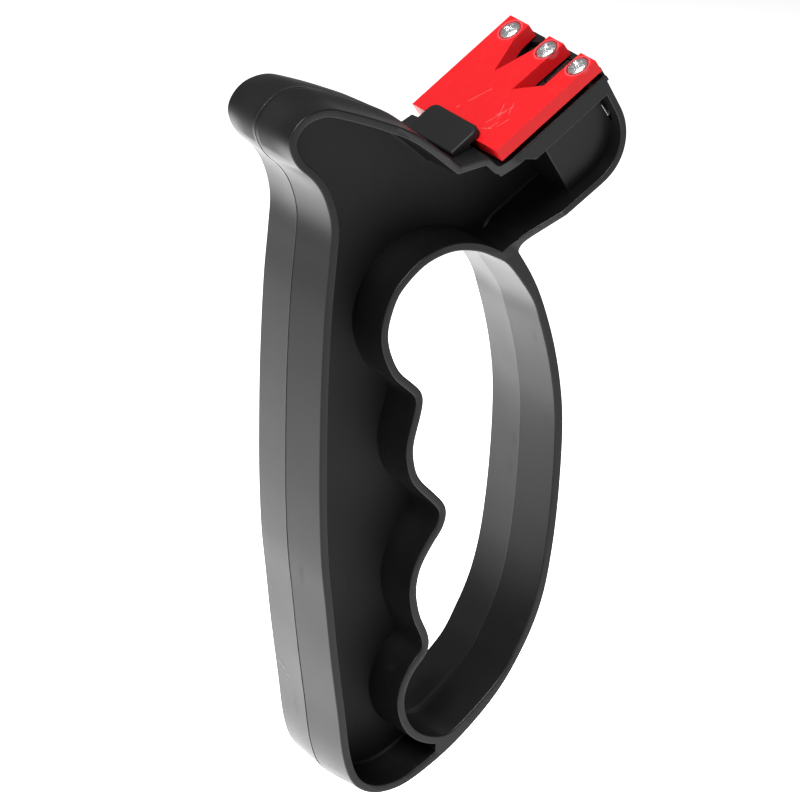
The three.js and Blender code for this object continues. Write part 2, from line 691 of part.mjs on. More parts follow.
// Domed cross-recess screw, made as a lathe profile round its own axis.
function coverScrew(y) {
  const radius = SCREW_HEAD_DIAMETER / 2;
  const shank = SCREW_SHANK_DIAMETER / 2;
  const base = COVER_TOP - SCREW_HEAD_HEIGHT / 2;
  const edge = base + SCREW_HEAD_HEIGHT * 0.35;
  const profile = [
    new THREE.Vector2(0, base - SCREW_LENGTH),
    new THREE.Vector2(shank * 0.6, base - SCREW_LENGTH),
    new THREE.Vector2(shank, base - SCREW_LENGTH + 0.8),
    new THREE.Vector2(shank, base),
    new THREE.Vector2(radius, base),
    new THREE.Vector2(radius, edge),
  ];
  for (let step = 1; step <= 4; step += 1) {
    const turn = (step / 4) * (Math.PI / 2);
    const rise = (base + SCREW_HEAD_HEIGHT - edge) * Math.sin(turn);
    profile.push(new THREE.Vector2(step === 4 ? 0 : radius * Math.cos(turn), edge + rise));
  }
  const geometry = new THREE.LatheGeometry(profile, 24);
  geometry.rotateX(Math.PI / 2);
  geometry.translate(SCREW_S, y, 0);
  const top = base + SCREW_HEAD_HEIGHT;
  const arm = DRIVE_WIDTH / 2;
  const span = DRIVE_SPAN / 2;
  const drive = [
    box(SCREW_S - span, SCREW_S + span, y - arm, y + arm, top - DRIVE_DEPTH, top + 1),
    box(SCREW_S - arm, SCREW_S + arm, y - span, y + span, top - DRIVE_DEPTH, top + 1),
  ];
  return cut(toSolid(geometry), ...drive);
}

// ---- assembly ------------------------------------------------------------------------------
const assembly = new THREE.Group();
assembly.add(namedMesh("handle_frame", handleFrame(), blackPlastic()));
assembly.add(headFrame);

headFrame.add(namedMesh("latch_tab", latchTab(), blackPlastic()));

const cartridge = new THREE.Group();
headFrame.add(cartridge);
cartridge.add(namedMesh("cartridge_carrier", carrier(), blackPlastic()));
cartridge.add(namedMesh("cover_plate", coverPlate(), redPlastic()));
screwPlaces.forEach((y, i) => {
  cartridge.add(namedMesh(`cover_screw_${i + 1}`, coverScrew(y), nickel()));
});
for (const layout of bladeLayouts) {
  const blade = plate(bladeOutline(layout, 0), layout.base, layout.base + BLADE_THICKNESS);
  cartridge.add(namedMesh(layout.name, blade, carbide()));
}

// The part's origin is the middle of its box.
const part = new THREE.Group();
part.add(assembly);
part.updateMatrixWorld(true);
const middle = new THREE.Box3().setFromObject(assembly, true).getCenter(new THREE.Vector3());
assembly.position.sub(middle);

export default part;
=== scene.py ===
"""Finished look of a hand-held knife and scissors sharpener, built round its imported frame.

Shapes are worked out in millimetres on the grip's own drawing, where X runs from the palm to
the knuckle guard, Y is depth and Z runs up the grip. The head has its own axes: s along the
cartridge and t out of its seat. Every piece is moved to the row frame, in metres, at the end.
"""

import json  # noqa: E402
import logging  # noqa: E402
import math  # noqa: E402
from dataclasses import dataclass, field  # noqa: E402
from enum import Enum  # noqa: E402
from typing import Any, Sequence  # noqa: E402

import bpy  # noqa: E402
import numpy as np  # noqa: E402
from mathutils import Matrix, Vector  # noqa: E402
from mathutils.geometry import delaunay_2d_cdt  # noqa: E402


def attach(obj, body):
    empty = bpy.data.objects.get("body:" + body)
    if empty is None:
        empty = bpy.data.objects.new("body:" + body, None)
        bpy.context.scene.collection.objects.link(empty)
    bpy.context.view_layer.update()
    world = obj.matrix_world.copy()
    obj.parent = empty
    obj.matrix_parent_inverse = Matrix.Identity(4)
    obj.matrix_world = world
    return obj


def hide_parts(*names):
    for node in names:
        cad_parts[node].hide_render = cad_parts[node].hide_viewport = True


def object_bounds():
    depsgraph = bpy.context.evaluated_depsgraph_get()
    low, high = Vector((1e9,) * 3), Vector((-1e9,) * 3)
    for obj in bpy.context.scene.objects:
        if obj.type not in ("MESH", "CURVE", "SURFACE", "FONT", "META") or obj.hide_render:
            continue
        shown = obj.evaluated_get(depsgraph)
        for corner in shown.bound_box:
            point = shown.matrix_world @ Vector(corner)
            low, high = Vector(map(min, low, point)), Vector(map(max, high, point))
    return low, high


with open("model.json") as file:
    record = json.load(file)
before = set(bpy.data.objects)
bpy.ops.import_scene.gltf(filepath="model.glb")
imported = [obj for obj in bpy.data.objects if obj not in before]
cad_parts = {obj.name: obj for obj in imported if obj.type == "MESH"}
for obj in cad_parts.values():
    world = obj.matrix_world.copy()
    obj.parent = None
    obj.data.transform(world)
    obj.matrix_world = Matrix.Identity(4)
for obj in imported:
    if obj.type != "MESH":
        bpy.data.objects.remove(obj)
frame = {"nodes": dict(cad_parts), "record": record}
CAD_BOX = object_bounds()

log = logging.getLogger("sharpener")

Pairs = Sequence[tuple[float, float]]
MM = 0.001
CREASE = math.radians(32)


class Body(str, Enum):
    """Bodies of the frame that pieces ride on."""

    HANDLE = "handle"
    LATCH = "latch"
    CARTRIDGE = "cartridge"


class Cut(str, Enum):
    """What a boolean step does with its second solid."""

    AWAY = "DIFFERENCE"
    ADD = "UNION"


# ---- places ---------------------------------------------------------------------------------
@dataclass(frozen=True)
class Drawing:
    """Where the grip's drawing and the head's axes lie in the row frame.

    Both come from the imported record: the cartridge slides along s, and the side mount marks a
    known point of the head.
    """

    along: np.ndarray
    out: np.ndarray
    shift: np.ndarray
    head: tuple[float, float] = (14.1, 51.9)
    marked: tuple[float, float] = (16.0, -2.0)

    @classmethod
    def from_record(cls, record: dict[str, Any]) -> "Drawing":
        """Reads the head's axes and the drawing's origin from the record.

        Args:
            record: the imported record.

        Returns:
            The drawing's place in the row frame.
        """
        slide = next(j for j in record["behaviour"]["joints"] if j["type"] == "slide")
        axis = np.array(slide["axis"], float)
        along = axis[[0, 2]] / np.linalg.norm(axis[[0, 2]])
        out = np.array([-along[1], along[0]])
        mount = next(m for m in record["mounts"] if m["name"] == "side_rest")
        place = np.array(mount["pos_m"], float)[[0, 2]] / MM
        head_row = place - cls.marked[0] * along - cls.marked[1] * out
        return cls(along, out, head_row - np.array(cls.head))

    def head_point(self, s: float, t: float) -> tuple[float, float]:
        """The (x, z) of a point given on the head's s and t axes."""
        x, z = np.array(self.head) + s * self.along + t * self.out
        return float(x), float(z)

    def head_points(self, pairs: Pairs) -> np.ndarray:
        """The (x, z) rows of points given on the head's s and t axes."""
        return np.array([self.head_point(s, t) for s, t in pairs])

    def from_head(self, local: np.ndarray) -> np.ndarray:
        """Turns rows of (s, y, t) into rows of (x, y, z) on the grip's drawing."""
        flat = np.array(self.head) + local[:, :1] * self.along + local[:, 2:] * self.out
        return np.column_stack([flat[:, 0], local[:, 1], flat[:, 1]])

    def to_row(self) -> Matrix:
        """The matrix that takes millimetres on the drawing to metres in the row frame."""
        move = Matrix.Translation((self.shift[0], 0.0, self.shift[1]))
        return Matrix.Scale(MM, 4) @ move

    def row_point(self, x: float, y: float, z: float) -> Vector:
        """A point of the drawing in the row frame, in metres."""
        return self.to_row() @ Vector((x, y, z))


# ---- curves ---------------------------------------------------------------------------------
def catmull_rom(knots: np.ndarray, steps: int = 40) -> np.ndarray:
    """Curve through all knots: each span is the cubic whose end slopes are half the step between
    the neighbouring knots, with the first and last knot doubled.

    Args:
        knots: rows of (x, z).
        steps: points on each span.

    Returns:
        Rows of (x, z), ending with the last knot.
    """
    padded = np.vstack([knots[:1], knots, knots[-1:]])
    a, b, c, d = padded[:-3], padded[1:-2], padded[2:-1], padded[3:]
    t = (np.arange(steps) / steps)[None, :, None]
    a, b, c, d = (part[:, None, :] for part in (a, b, c, d))
    slope_in, slope_out = (c - a) / 2, (d - b) / 2
    cubic = 2 * (b - c) + slope_in + slope_out
    square = 3 * (c - b) - 2 * slope_in - slope_out
    spans = ((cubic * t + square) * t + slope_in) * t + b
    return np.vstack([spans.reshape(-1, 2), knots[-1:]])


def bezier(corners: np.ndarray, steps: int = 40) -> np.ndarray:
    """Bezier curve of any degree: the corners weighted by the binomial terms of t."""
    degree = len(corners) - 1
    t = np.linspace(0, 1, steps)[:, None]
    powers = np.arange(degree + 1)
    weights = np.array([math.comb(degree, k) for k in powers])
    return (weights * t**powers * (1 - t) ** (degree - powers)) @ corners


def evenly(path: np.ndarray, spacing: float) -> np.ndarray:
    """Points at equal steps of arc length along an open path, both ends kept."""
    lengths = np.concatenate([[0], np.cumsum(np.linalg.norm(np.diff(path, axis=0), axis=1))])
    count = max(2, round(lengths[-1] / spacing) + 1)
    at = np.linspace(0, lengths[-1], count)
    return np.column_stack([np.interp(at, lengths, path[:, k]) for k in (0, 1)])


def softened(path: np.ndarray, passes: int, closed: bool = False) -> np.ndarray:
    """Evens out curvature: each pass moves a point a quarter of the way to each neighbour."""
    for _ in range(passes):
        before, after = np.roll(path, 1, 0), np.roll(path, -1, 0)
        moved = (before + 2 * path + after) / 4
        if not closed:
            moved[0], moved[-1] = path[0], path[-1]
        path = moved
    return path


def rounded(corners: np.ndarray, radius: float, steps: int = 4) -> np.ndarray:
    """A closed outline with each corner replaced by a short parabola that starts and ends
    radius away from it, or less on short sides."""
    before, after = np.roll(corners, 1, 0) - corners, np.roll(corners, -1, 0) - corners
    reach_in = np.linalg.norm(before, axis=1, keepdims=True)
    reach_out = np.linalg.norm(after, axis=1, keepdims=True)
    start = corners + before / reach_in * np.minimum(radius, reach_in * 0.4)
    end = corners + after / reach_out * np.minimum(radius, reach_out * 0.4)
    t = np.linspace(0, 1, steps)[None, :, None]
    arcs = (1 - t) ** 2 * start[:, None] + 2 * t * (1 - t) * corners[:, None] + t**2 * end[:, None]
    return arcs.reshape(-1, 2)


def outward(outline: np.ndarray) -> np.ndarray:
    """Mitred outward directions of a closed counter-clockwise outline: the mean of the two edge
    normals, stretched so that both edges move by the same distance."""
    edge = np.roll(outline, -1, 0) - outline
    edge = edge / np.linalg.norm(edge, axis=1, keepdims=True)
    normal = np.column_stack([edge[:, 1], -edge[:, 0]])
    mean = normal + np.roll(normal, 1, 0)
    mean = mean / np.linalg.norm(mean, axis=1, keepdims=True)
    stretch = np.maximum(0.5, np.sum(mean * normal, axis=1, keepdims=True))
    return mean / stretch


def shifted(outline: np.ndarray, distance: np.ndarray | float, clean: bool = False) -> np.ndarray:
    """A closed outline moved outwards by distance, per point or for all.

    Args:
        outline: rows of (x, z), counter-clockwise.
        distance: millimetres outwards.
        clean: straighten out stretches where the moved outline folds over itself.

    Returns:
        The moved outline, with as many points.
    """
    amount = np.broadcast_to(np.asarray(distance, float), (len(outline),))
    moved = outline + outward(outline) * amount[:, None]
    if not clean:
        return moved
    gap = np.linalg.norm(moved[:, None] - outline[None], axis=2).min(axis=1)
    good = np.flatnonzero(gap > np.abs(amount) - 0.06)
    count = len(outline)
    wrapped = np.concatenate([good - count, good, good + count])
    source = np.tile(moved[good], (3, 1))
    return np.column_stack([np.interp(np.arange(count), wrapped, source[:, k]) for k in (0, 1)])


# ---- solids ---------------------------------------------------------------------------------
@dataclass
class Solid:
    """A closed solid in millimetres, as vertices and faces that point outwards."""

    vertices: np.ndarray
    faces: list[tuple[int, ...]]

    def volume(self) -> float:
        """Sum of the signed tetrahedra between the origin and each face's fan of triangles."""
        total = 0.0
        for size in {len(face) for face in self.faces}:
            index = np.array([face for face in self.faces if len(face) == size])
            corner = self.vertices[index]
            for k in range(1, size - 1):
                normal = np.cross(corner[:, k], corner[:, k + 1])
                total += float(np.sum(corner[:, 0] * normal)) / 6
        return total

    def facing_out(self) -> "Solid":
        """The solid with its faces turned round if they point inwards."""
        if self.volume() < 0:
            self.faces = [face[::-1] for face in self.faces]
        return self

    def turned(self, drawing: Drawing) -> "Solid":
        """The solid taken from the head's (s, y, t) axes to the grip's drawing."""
        return Solid(drawing.from_head(self.vertices), self.faces).facing_out()

    def to_object(self, name: str) -> bpy.types.Object:
        """A Blender object with the solid's mesh, still in millimetres."""
        mesh = bpy.data.meshes.new(name)
        mesh.from_pydata(self.vertices.tolist(), [], self.faces)
        mesh.update()
        made = bpy.data.objects.new(name, mesh)
        bpy.context.scene.collection.objects.link(made)
        return made


Part = Solid | bpy.types.Object


def filled(ring: np.ndarray, cap: Sequence[int]) -> list[tuple[int, ...]]:
    """Splits a flat end into triangles that keep the ring's direction.

    Args:
        ring: rows of (x, y, z).
        cap: the end's corners, as positions on the ring.

    Returns:
        Triangles as positions on the ring, or the whole end where it can't be split.
    """
    if len(cap) <= 4:
        return [tuple(cap)]
    corners = np.delete(ring[list(cap)], np.ptp(ring, axis=0).argmin(), axis=1)
    following = np.roll(corners, -1, 0)
    area = float(np.sum(corners[:, 0] * following[:, 1] - following[:, 0] * corners[:, 1]))
    count = len(cap)
    edges = [(i, (i + 1) % count) for i in range(count)]
    split = delaunay_2d_cdt([Vector(c) for c in corners], edges, [list(range(count))], 1, 1e-7)
    if len(split[0]) != count:
        return [tuple(cap)]
    order = [cap[source[0]] for source in split[3]]
    turn = 1 if area > 0 else -1
    return [tuple(order[i] for i in face)[::turn] for face in split[2]]


def loft(rings: Sequence[np.ndarray], caps: Sequence[list[int]] | None = None) -> Solid:
    """Skin over a row of rings with as many points each, closed by flat ends.

    Args:
        rings: rows of (x, y, z) for each ring.
        caps: faces that close an end, as positions on the ring. One face by default.

    Returns:
        The closed solid.
    """
    count = len(rings[0])
    around = np.arange(count)
    following = (around + 1) % count
    quads = [
        np.column_stack([k * count + around, k * count + following,
                         (k + 1) * count + following, (k + 1) * count + around])
        for k in range(len(rings) - 1)
    ]
    faces = [tuple(row) for row in np.vstack(quads).tolist()]
    last = (len(rings) - 1) * count
    for cap in caps or [list(range(count))]:
        faces += [face[::-1] for face in filled(rings[0], cap)]
        faces += [tuple(last + i for i in face) for face in filled(rings[-1], cap)]
    return Solid(np.vstack(rings), faces).facing_out()


def quarter(radius: float, steps: int) -> list[tuple[float, float]]:
    """Quarter circle of a rounded edge, from the wall to the flat: how far each point lies below
    the flat, by the sine of the turn, and how far it draws in from the wall, by the cosine."""
    turns = np.linspace(0, math.pi / 2, steps)
    return [(radius * (1 - math.sin(turn)), radius * (1 - math.cos(turn))) for turn in turns]


def level(outline: Pairs, t: float) -> np.ndarray:
    """An (s, y) outline as (s, y, t) rows."""
    return np.column_stack([np.array(outline, float), np.full(len(outline), t)])


def ring_at(outline: np.ndarray, depth: np.ndarray | float) -> np.ndarray:
    """An (x, z) outline as (x, y, z) rows at a depth, per point or for all."""
    depths = np.broadcast_to(np.asarray(depth, float), (len(outline),))
    return np.column_stack([outline[:, 0], depths, outline[:, 1]])


def block(s: tuple[float, float], y: tuple[float, float], t: tuple[float, float]) -> Solid:
    """A box on the head's axes, given by its two ends on each."""
    corners = np.array([[s[0], y[0]], [s[1], y[0]], [s[1], y[1]], [s[0], y[1]]])
    return upright(corners, t[0], t[1])


def upright(outline: np.ndarray, low: float, high: float) -> Solid:
    """An (s, y) outline carried straight along t."""
    return loft([level(outline, low), level(outline, high)])


def frustum(top: Pairs, bottom: Pairs, high: float, low: float) -> Solid:
    """A hole that narrows downwards: straight skin between two (s, y) outlines."""
    return loft([level(top, high), level(bottom, low)])


def turned_profile(profile: Pairs, s: float, y: float, sides: int = 48) -> Solid:
    """A lathe shape: an (r, t) profile swung round the upright axis through (s, y)."""
    turn = np.linspace(0, 2 * np.pi, sides, endpoint=False)
    circle = np.column_stack([np.cos(turn), np.sin(turn)])
    return loft([level(circle * r + (s, y), t) for r, t in profile])


def carve(solid: Part, steps: Sequence[tuple[Cut, Part]], name: str) -> bpy.types.Object:
    """Adds solids to a base and cuts others away.

    Args:
        solid: the base, as a solid or an object made before.
        steps: what to do, in order.
        name: the name of the made object.

    Returns:
        The made object, in millimetres.
    """
    base = solid.to_object(name) if isinstance(solid, Solid) else solid
    tools = []
    for cut, tool in steps:
        helper = tool.to_object(f"{name}_tool") if isinstance(tool, Solid) else tool
        helper.hide_render = True
        modifier = base.modifiers.new("cut", "BOOLEAN")
        modifier.operation = cut.value
        modifier.solver = "MANIFOLD"
        modifier.object = helper
        tools.append(helper)
    graph = bpy.context.evaluated_depsgraph_get()
    made = bpy.data.meshes.new_from_object(base.evaluated_get(graph))
    base.modifiers.clear()
    old, base.data = base.data, made
    bpy.data.meshes.remove(old)
    for helper in tools:
        mesh = helper.data
        bpy.data.objects.remove(helper)
        bpy.data.meshes.remove(mesh)
    return base


# ---- shader expressions ---------------------------------------------------------------------
class Term:
    """A shader value that can be used in sums, products and comparisons."""

    def __init__(self, graph: "Graph", socket: bpy.types.NodeSocket) -> None:
        """Wraps one output socket of a graph."""
        self.graph = graph
        self.socket = socket

    def _with(self, operation: str, *others: "Term | float") -> "Term":
        """The result of a maths operation on this value and others."""
        node = self.graph.node("ShaderNodeMath", {"operation": operation},
                               dict(enumerate([self, *others])))
        return Term(self.graph, node.outputs[0])

    def __add__(self, other: "Term | float") -> "Term":
        """Sum."""
        return self._with("ADD", other)

    __radd__ = __add__

    def __mul__(self, other: "Term | float") -> "Term":
        """Product."""
        return self._with("MULTIPLY", other)

    __rmul__ = __mul__

    def __sub__(self, other: "Term | float") -> "Term":
        """Difference."""
        return self._with("SUBTRACT", other)

    def __rsub__(self, other: float) -> "Term":
        """Difference from a number."""
        return self * -1.0 + other

    def __abs__(self) -> "Term":
        """Size without sign."""
        return self._with("ABSOLUTE")

    def above(self, start: float, end: float) -> "Term":
        """0 below start, 1 past end, and a smooth step between them."""
        node = self.graph.node(
            "ShaderNodeMapRange",
            {"interpolation_type": "SMOOTHSTEP", "clamp": True},
            {"Value": self, "From Min": start, "From Max": end},
        )
        return Term(self.graph, node.outputs[0])

    def below(self, start: float, end: float) -> "Term":
        """1 below start, 0 past end, and a smooth step between them."""
        return 1.0 - self.above(start, end)


class Graph:
    """The node tree of one material, with a Principled shader at its end."""

    def __init__(self, name: str) -> None:
        """Starts an empty material."""
        self.material = bpy.data.materials.new(name)
        self.material.use_nodes = True
        self.tree = self.material.node_tree
        self.tree.nodes.clear()
        self.shader = self.node("ShaderNodeBsdfPrincipled", {}, {})
        self.node("ShaderNodeOutputMaterial", {}, {"Surface": self.shader.outputs[0]})
        self.place = self.node("ShaderNodeTexCoord", {}, {}).outputs["Object"]
        parts = self.node("ShaderNodeSeparateXYZ", {}, {0: self.place})
        self.x, self.y, self.z = (Term(self, out) for out in parts.outputs)

    def node(self, kind: str, settings: dict[str, Any], inputs: dict[Any, Any]) -> bpy.types.Node:
        """Makes a node, sets its options, then sets or links its inputs.

        Args:
            kind: the node's type.
            settings: attribute names and values.
            inputs: input names or numbers, with a value, a socket or a term for each.

        Returns:
            The node.
        """
        made = self.tree.nodes.new(kind)
        for key, value in settings.items():
            setattr(made, key, value)
        for key, value in inputs.items():
            source = value.socket if isinstance(value, Term) else value
            if isinstance(source, bpy.types.NodeSocket):
                self.tree.links.new(source, made.inputs[key])
            else:
                made.inputs[key].default_value = source
        return made

    def noise(self, size_mm: float, detail: float = 2.0,
              stretch: tuple[float, float, float] | None = None) -> Term:
        """Cloudy pattern with blotches of about size_mm, drawn out along axes by stretch."""
        place = self.place
        if stretch:
            mapping = self.node("ShaderNodeMapping", {}, {"Vector": place, "Scale": stretch})
            place = mapping.outputs[0]
        made = self.node("ShaderNodeTexNoise", {},
                         {"Vector": place, "Scale": 1 / (size_mm * MM), "Detail": detail})
        return Term(self, made.outputs[0])

    def specks(self, cell_mm: float, radius: float, share: float) -> Term:
        """Small dots, at most one in a cell, on a share of the cells."""
        made = self.node("ShaderNodeTexVoronoi", {},
                         {"Vector": self.place, "Scale": 1 / (cell_mm * MM)})
        chosen = self.node("ShaderNodeSeparateColor", {}, {0: made.outputs["Color"]})
        near = Term(self, made.outputs["Distance"]).below(radius * 0.5, radius)
        return near * Term(self, chosen.outputs[0]).below(share * 0.98, share)

    def line(self, start: Vector, end: Vector, width: float) -> Term:
        """A scratch: 1 on the straight line between two points, fading over width, in metres.

        The distance is the length of what is left of the offset from start once its part
        along the line, held between the two ends, is taken away.
        """
        way = end - start
        offset = self.node("ShaderNodeVectorMath", {"operation": "SUBTRACT"},
                           {0: self.place, 1: start})
        along = self.node("ShaderNodeVectorMath", {"operation": "DOT_PRODUCT"},
                          {0: offset.outputs[0], 1: way / way.length_squared})
        held = self.node("ShaderNodeClamp", {}, {0: Term(self, along.outputs["Value"])})
        part = self.node("ShaderNodeVectorMath", {"operation": "SCALE"},
                         {0: way, "Scale": held.outputs[0]})
        rest = self.node("ShaderNodeVectorMath", {"operation": "DISTANCE"},
                         {0: offset.outputs[0], 1: part.outputs[0]})
        return Term(self, rest.outputs["Value"]).below(width * 0.3, width)

    def near(self, centre: Vector, start: float, end: float) -> Term:
        """1 within start metres of a point and 0 past end."""
        gap = self.node("ShaderNodeVectorMath", {"operation": "DISTANCE"},
                        {0: self.place, 1: centre})
        return Term(self, gap.outputs["Value"]).below(start, end)

    def blend(self, amount: Term, base: Any, over: Any) -> bpy.types.NodeSocket:
        """One colour laid over another by amount."""
        made = self.node("ShaderNodeMix", {"data_type": "RGBA"}, {0: amount, 6: base, 7: over})
        return made.outputs[2]

    def bump(self, height: Term, depth_mm: float) -> bpy.types.NodeSocket:
        """A normal from a height pattern as deep as depth_mm."""
        made = self.node("ShaderNodeBump", {}, {"Height": height, "Distance": depth_mm * MM})
        return made.outputs[0]

    def finish(self, **sockets: Any) -> bpy.types.Material:
        """Sets the shader's sockets by name, with underscores for spaces."""
        for key, value in sockets.items():
            target = self.shader.inputs[key.replace("_", " ")]
            source = value.socket if isinstance(value, Term) else value
            if isinstance(source, bpy.types.NodeSocket):
                self.tree.links.new(source, target)
            else:
                target.default_value = source
        return self.material


def grey(level: float, tint: float = 0.0) -> tuple[float, float, float, float]:
    """A grey, a little bluer by tint."""
    return level, level, level * (1 + tint), 1.0


@dataclass(frozen=True)
class BlackPlastic:
    """Moulded black plastic: fine grain, a few light specks, hairline rubs and mould marks; on the
    grip, painted shade deep in the recess and along the joint line's groove.
    """

    name: str
    drawing: Drawing
    level: float = 0.0042
    roughness: float = 0.36
    grip: bool = False

    def make(self) -> bpy.types.Material:
        """Builds the material."""
        graph = Graph(self.name)
        cloud = graph.noise(11.0, 3.0)
        grain = graph.noise(0.25, 2.0)
        rub = graph.noise(1.6, 4.0, (1.0, 0.3, 0.12)).above(0.62, 0.74)
        dots = graph.specks(4.6, 0.03, 0.3) + graph.specks(2.3, 0.026, 0.1)
        shade = graph.blend(cloud, grey(self.level, 0.12), grey(self.level * 1.5, 0.15))
        shade = graph.blend(rub * 0.3, shade, grey(self.level * 3.0, 0.1))
        shade = graph.blend(dots * 0.6, shade, grey(0.13))
        rough = cloud * 0.1 + grain * 0.08 + rub * 0.08 + (self.roughness - 0.09)
        height = grain * 0.6 + graph.noise(0.8, 2.0) * 0.4
        if self.grip:
            web = self.recess_matt_and_shade(graph)
            # painted shade: the web deep in the recess is darkened towards a near-black grey
            shade = graph.blend(web * 0.55, shade, grey(self.level * 0.35, 0.1))
            rough = rough + web * 0.22
            dark, light = self.seam_shade_and_mould_marks(graph)
            shade = graph.blend(light * 0.8, shade, grey(0.075, 0.06))
            # the dark marks: painted shade along the joint line's groove on the lower palm, and
            # the nicks
            shade = graph.blend(dark, shade, grey(0.0015))
            rough = rough + dark * 0.3
            height = height + light * 3.0 - dark * 5.0
        return graph.finish(Base_Color=shade, Roughness=rough, Normal=graph.bump(height, 0.012),
                            IOR=1.5, Specular_IOR_Level=0.5)

    def recess_matt_and_shade(self, graph: Graph) -> Term:
        """Mask of the web and what is near it, deep in the recess: made matt there, and darkened
        there as painted shade.

        How far a point lies behind the palm side is x less a parabola of z, plus the square of
        what z is above the neck, where the thumb rest reaches out. The guard has no recess.
        """
        x, z = (term * (1 / MM) - float(shift)
                for term, shift in zip((graph.x, graph.z), self.drawing.shift))
        thumb = (z - 44.0) * (z - 44.0) * z.above(43.9, 44.1) * 0.043
        behind = x - (z * z * 0.001315 + z * 0.01303 - 25.957) + thumb
        guard = x.above(9.0, 14.0) * z.below(34.0, 38.0)
        depth = abs(graph.y).above(1.0 * MM, 1.2 * MM) * abs(graph.y).below(4.0 * MM, 11.0 * MM)
        return depth * behind.above(0.5, 1.5) * (1.0 - guard)

    def seam_shade_and_mould_marks(self, graph: Graph) -> tuple[Term, Term]:
        """The joint line of the mould, darkened along its groove on the lower palm as painted
        shade, and the scuffs and the nick on the palm side.

        Returns:
            The dark marks and the light marks.
        """
        grip = self.drawing.row_point(-12.0, 0.0, -54.0)
        palm = graph.x.below(grip.x - 3 * MM, grip.x)
        low = graph.z.below(grip.z - 3 * MM, grip.z + 4 * MM)
        waver = graph.noise(3.0, 3.0) * (0.08 * MM)
        seam = abs(graph.y + waver - 0.12 * MM)
        # painted shade in the joint line's groove, low on the palm side
        dark = abs(graph.y + waver + 0.08 * MM).below(0.05 * MM, 0.16 * MM) * palm * low
        light = seam.below(0.03 * MM, 0.1 * MM) * (1.0 - low * palm) * 0.5
        rough_edge = graph.noise(0.35, 3.0).above(0.38, 0.5)
        dark = dark + self.strokes(graph, [
            ((-24.2, 8.0, 31.8), (-24.3, 4.2, 31.3), 0.10),
            ((-24.3, 8.3, 30.7), (-24.3, 6.8, 30.4), 0.12),
            ((-25.75, 0.6, 5.7), (-25.75, 0.3, 5.2), 0.10),
            ((-22.5, 6.4, -56.6), (-22.4, 2.2, -56.4), 0.14),
        ]) * rough_edge
        light = light + self.strokes(graph, [
            ((-24.2, 7.9, 31.4), (-24.3, 4.4, 30.9), 0.13),
            ((-24.3, 8.4, 30.3), (-24.3, 6.6, 30.0), 0.13),
            ((-24.5, 4.0, 28.4), (-24.6, 3.2, 27.6), 0.12),
            ((-22.5, 9.9, -55.8), (-22.4, 7.6, -56.3), 0.42),
            ((-22.4, 7.2, -57.6), (-22.3, 2.4, -57.3), 0.26),
        ]) * rough_edge
        return dark, light

    def strokes(self, graph: Graph, marks: Sequence[tuple]) -> Term:
        """Short marks given by two ends on the drawing and a half width in millimetres."""
        total = None
        for start, end, width in marks:
            ends = [self.drawing.row_point(*point) for point in (start, end)]
            mark = graph.line(ends[0], ends[1], width * 1.6 * MM)
            total = mark if total is None else total + mark
        return total


@dataclass(frozen=True)
class RedPlastic:
    """Glossy red cover plastic with flow marks, fine scratches and pale rings round the screws."""

    name: str
    drawing: Drawing
    screws: tuple[Vector, ...]
    colour: tuple[float, float, float, float] = (0.90, 0.012, 0.017, 1.0)

    def make(self) -> bpy.types.Material:
        """Builds the material."""
        graph = Graph(self.name)
        cloud = graph.noise(7.0, 3.0)
        flow = graph.noise(1.2, 4.0, (0.3, 1.0, 0.3)).above(0.5, 0.8)
        shade = graph.blend(cloud, self.colour, (0.84, 0.010, 0.014, 1.0))
        shade = graph.blend(flow * 0.22, shade, (0.92, 0.05, 0.055, 1.0))
        cuts = self.scratches(graph)
        shade = graph.blend(cuts * 0.4, shade, (0.95, 0.36, 0.36, 1.0))
        ring = graph.near(self.screws[0], 2.7 * MM, 3.0 * MM)
        for centre in self.screws[1:]:
            ring = ring + graph.near(centre, 2.7 * MM, 3.0 * MM)
        shade = graph.blend(ring * 0.28, shade, (0.95, 0.30, 0.34, 1.0))
        rough = cloud * 0.08 + cuts * 0.25 + graph.noise(0.3, 2.0) * 0.06 + 0.30
        height = graph.noise(0.4, 2.0) * 0.5 - cuts * 3.0
        return graph.finish(Base_Color=shade, Roughness=rough, Normal=graph.bump(height, 0.01),
                            IOR=1.5, Specular_IOR_Level=0.4)

    def scratches(self, graph: Graph) -> Term:
        """Hairlines on the cover's face, as pairs of (s, y) ends at the height of the face."""
        hairs = [
            ((5.0, -6.0), (9.2, -8.0)), ((6.0, -8.6), (10.4, -5.6)), ((4.2, -8.2), (6.6, -9.0)),
            ((7.4, -6.6), (10.8, -8.4)), ((8.6, -9.4), (11.6, -7.6)), ((5.2, -9.6), (8.0, -10.6)),
            ((3.4, -6.4), (4.4, -8.8)), ((4.8, 4.5), (12.0, 1.0)),
        ]
        total = None
        for hair in hairs:
            ends = []
            for s, y in hair:
                x, z = self.drawing.head_point(s, 4.15)
                ends.append(self.drawing.row_point(x, y, z))
            mark = graph.line(ends[0], ends[1], 0.1 * MM) * graph.noise(1.6, 2.0).above(0.3, 0.5)
            total = mark if total is None else total + mark
        return total


@dataclass(frozen=True)
class Metal:
    """Bare or plated metal with fine turning marks and tarnish."""

    name: str
    level: float
    roughness: float
    dent: float = 0.02

    def make(self) -> bpy.types.Material:
        """Builds the material."""
        graph = Graph(self.name)
        cloud = graph.noise(0.9, 4.0)
        stain = cloud.above(0.52, 0.68)
        shade = graph.blend(stain * 0.6, grey(self.level, 0.01), grey(self.level * 0.42, 0.02))
        rough = graph.noise(0.25, 3.0) * 0.22 + stain * 0.12 + (self.roughness - 0.1)
        height = graph.noise(0.55, 3.0)
        return graph.finish(Base_Color=shade, Roughness=rough, Metallic=1.0,
                            Normal=graph.bump(height, self.dent))


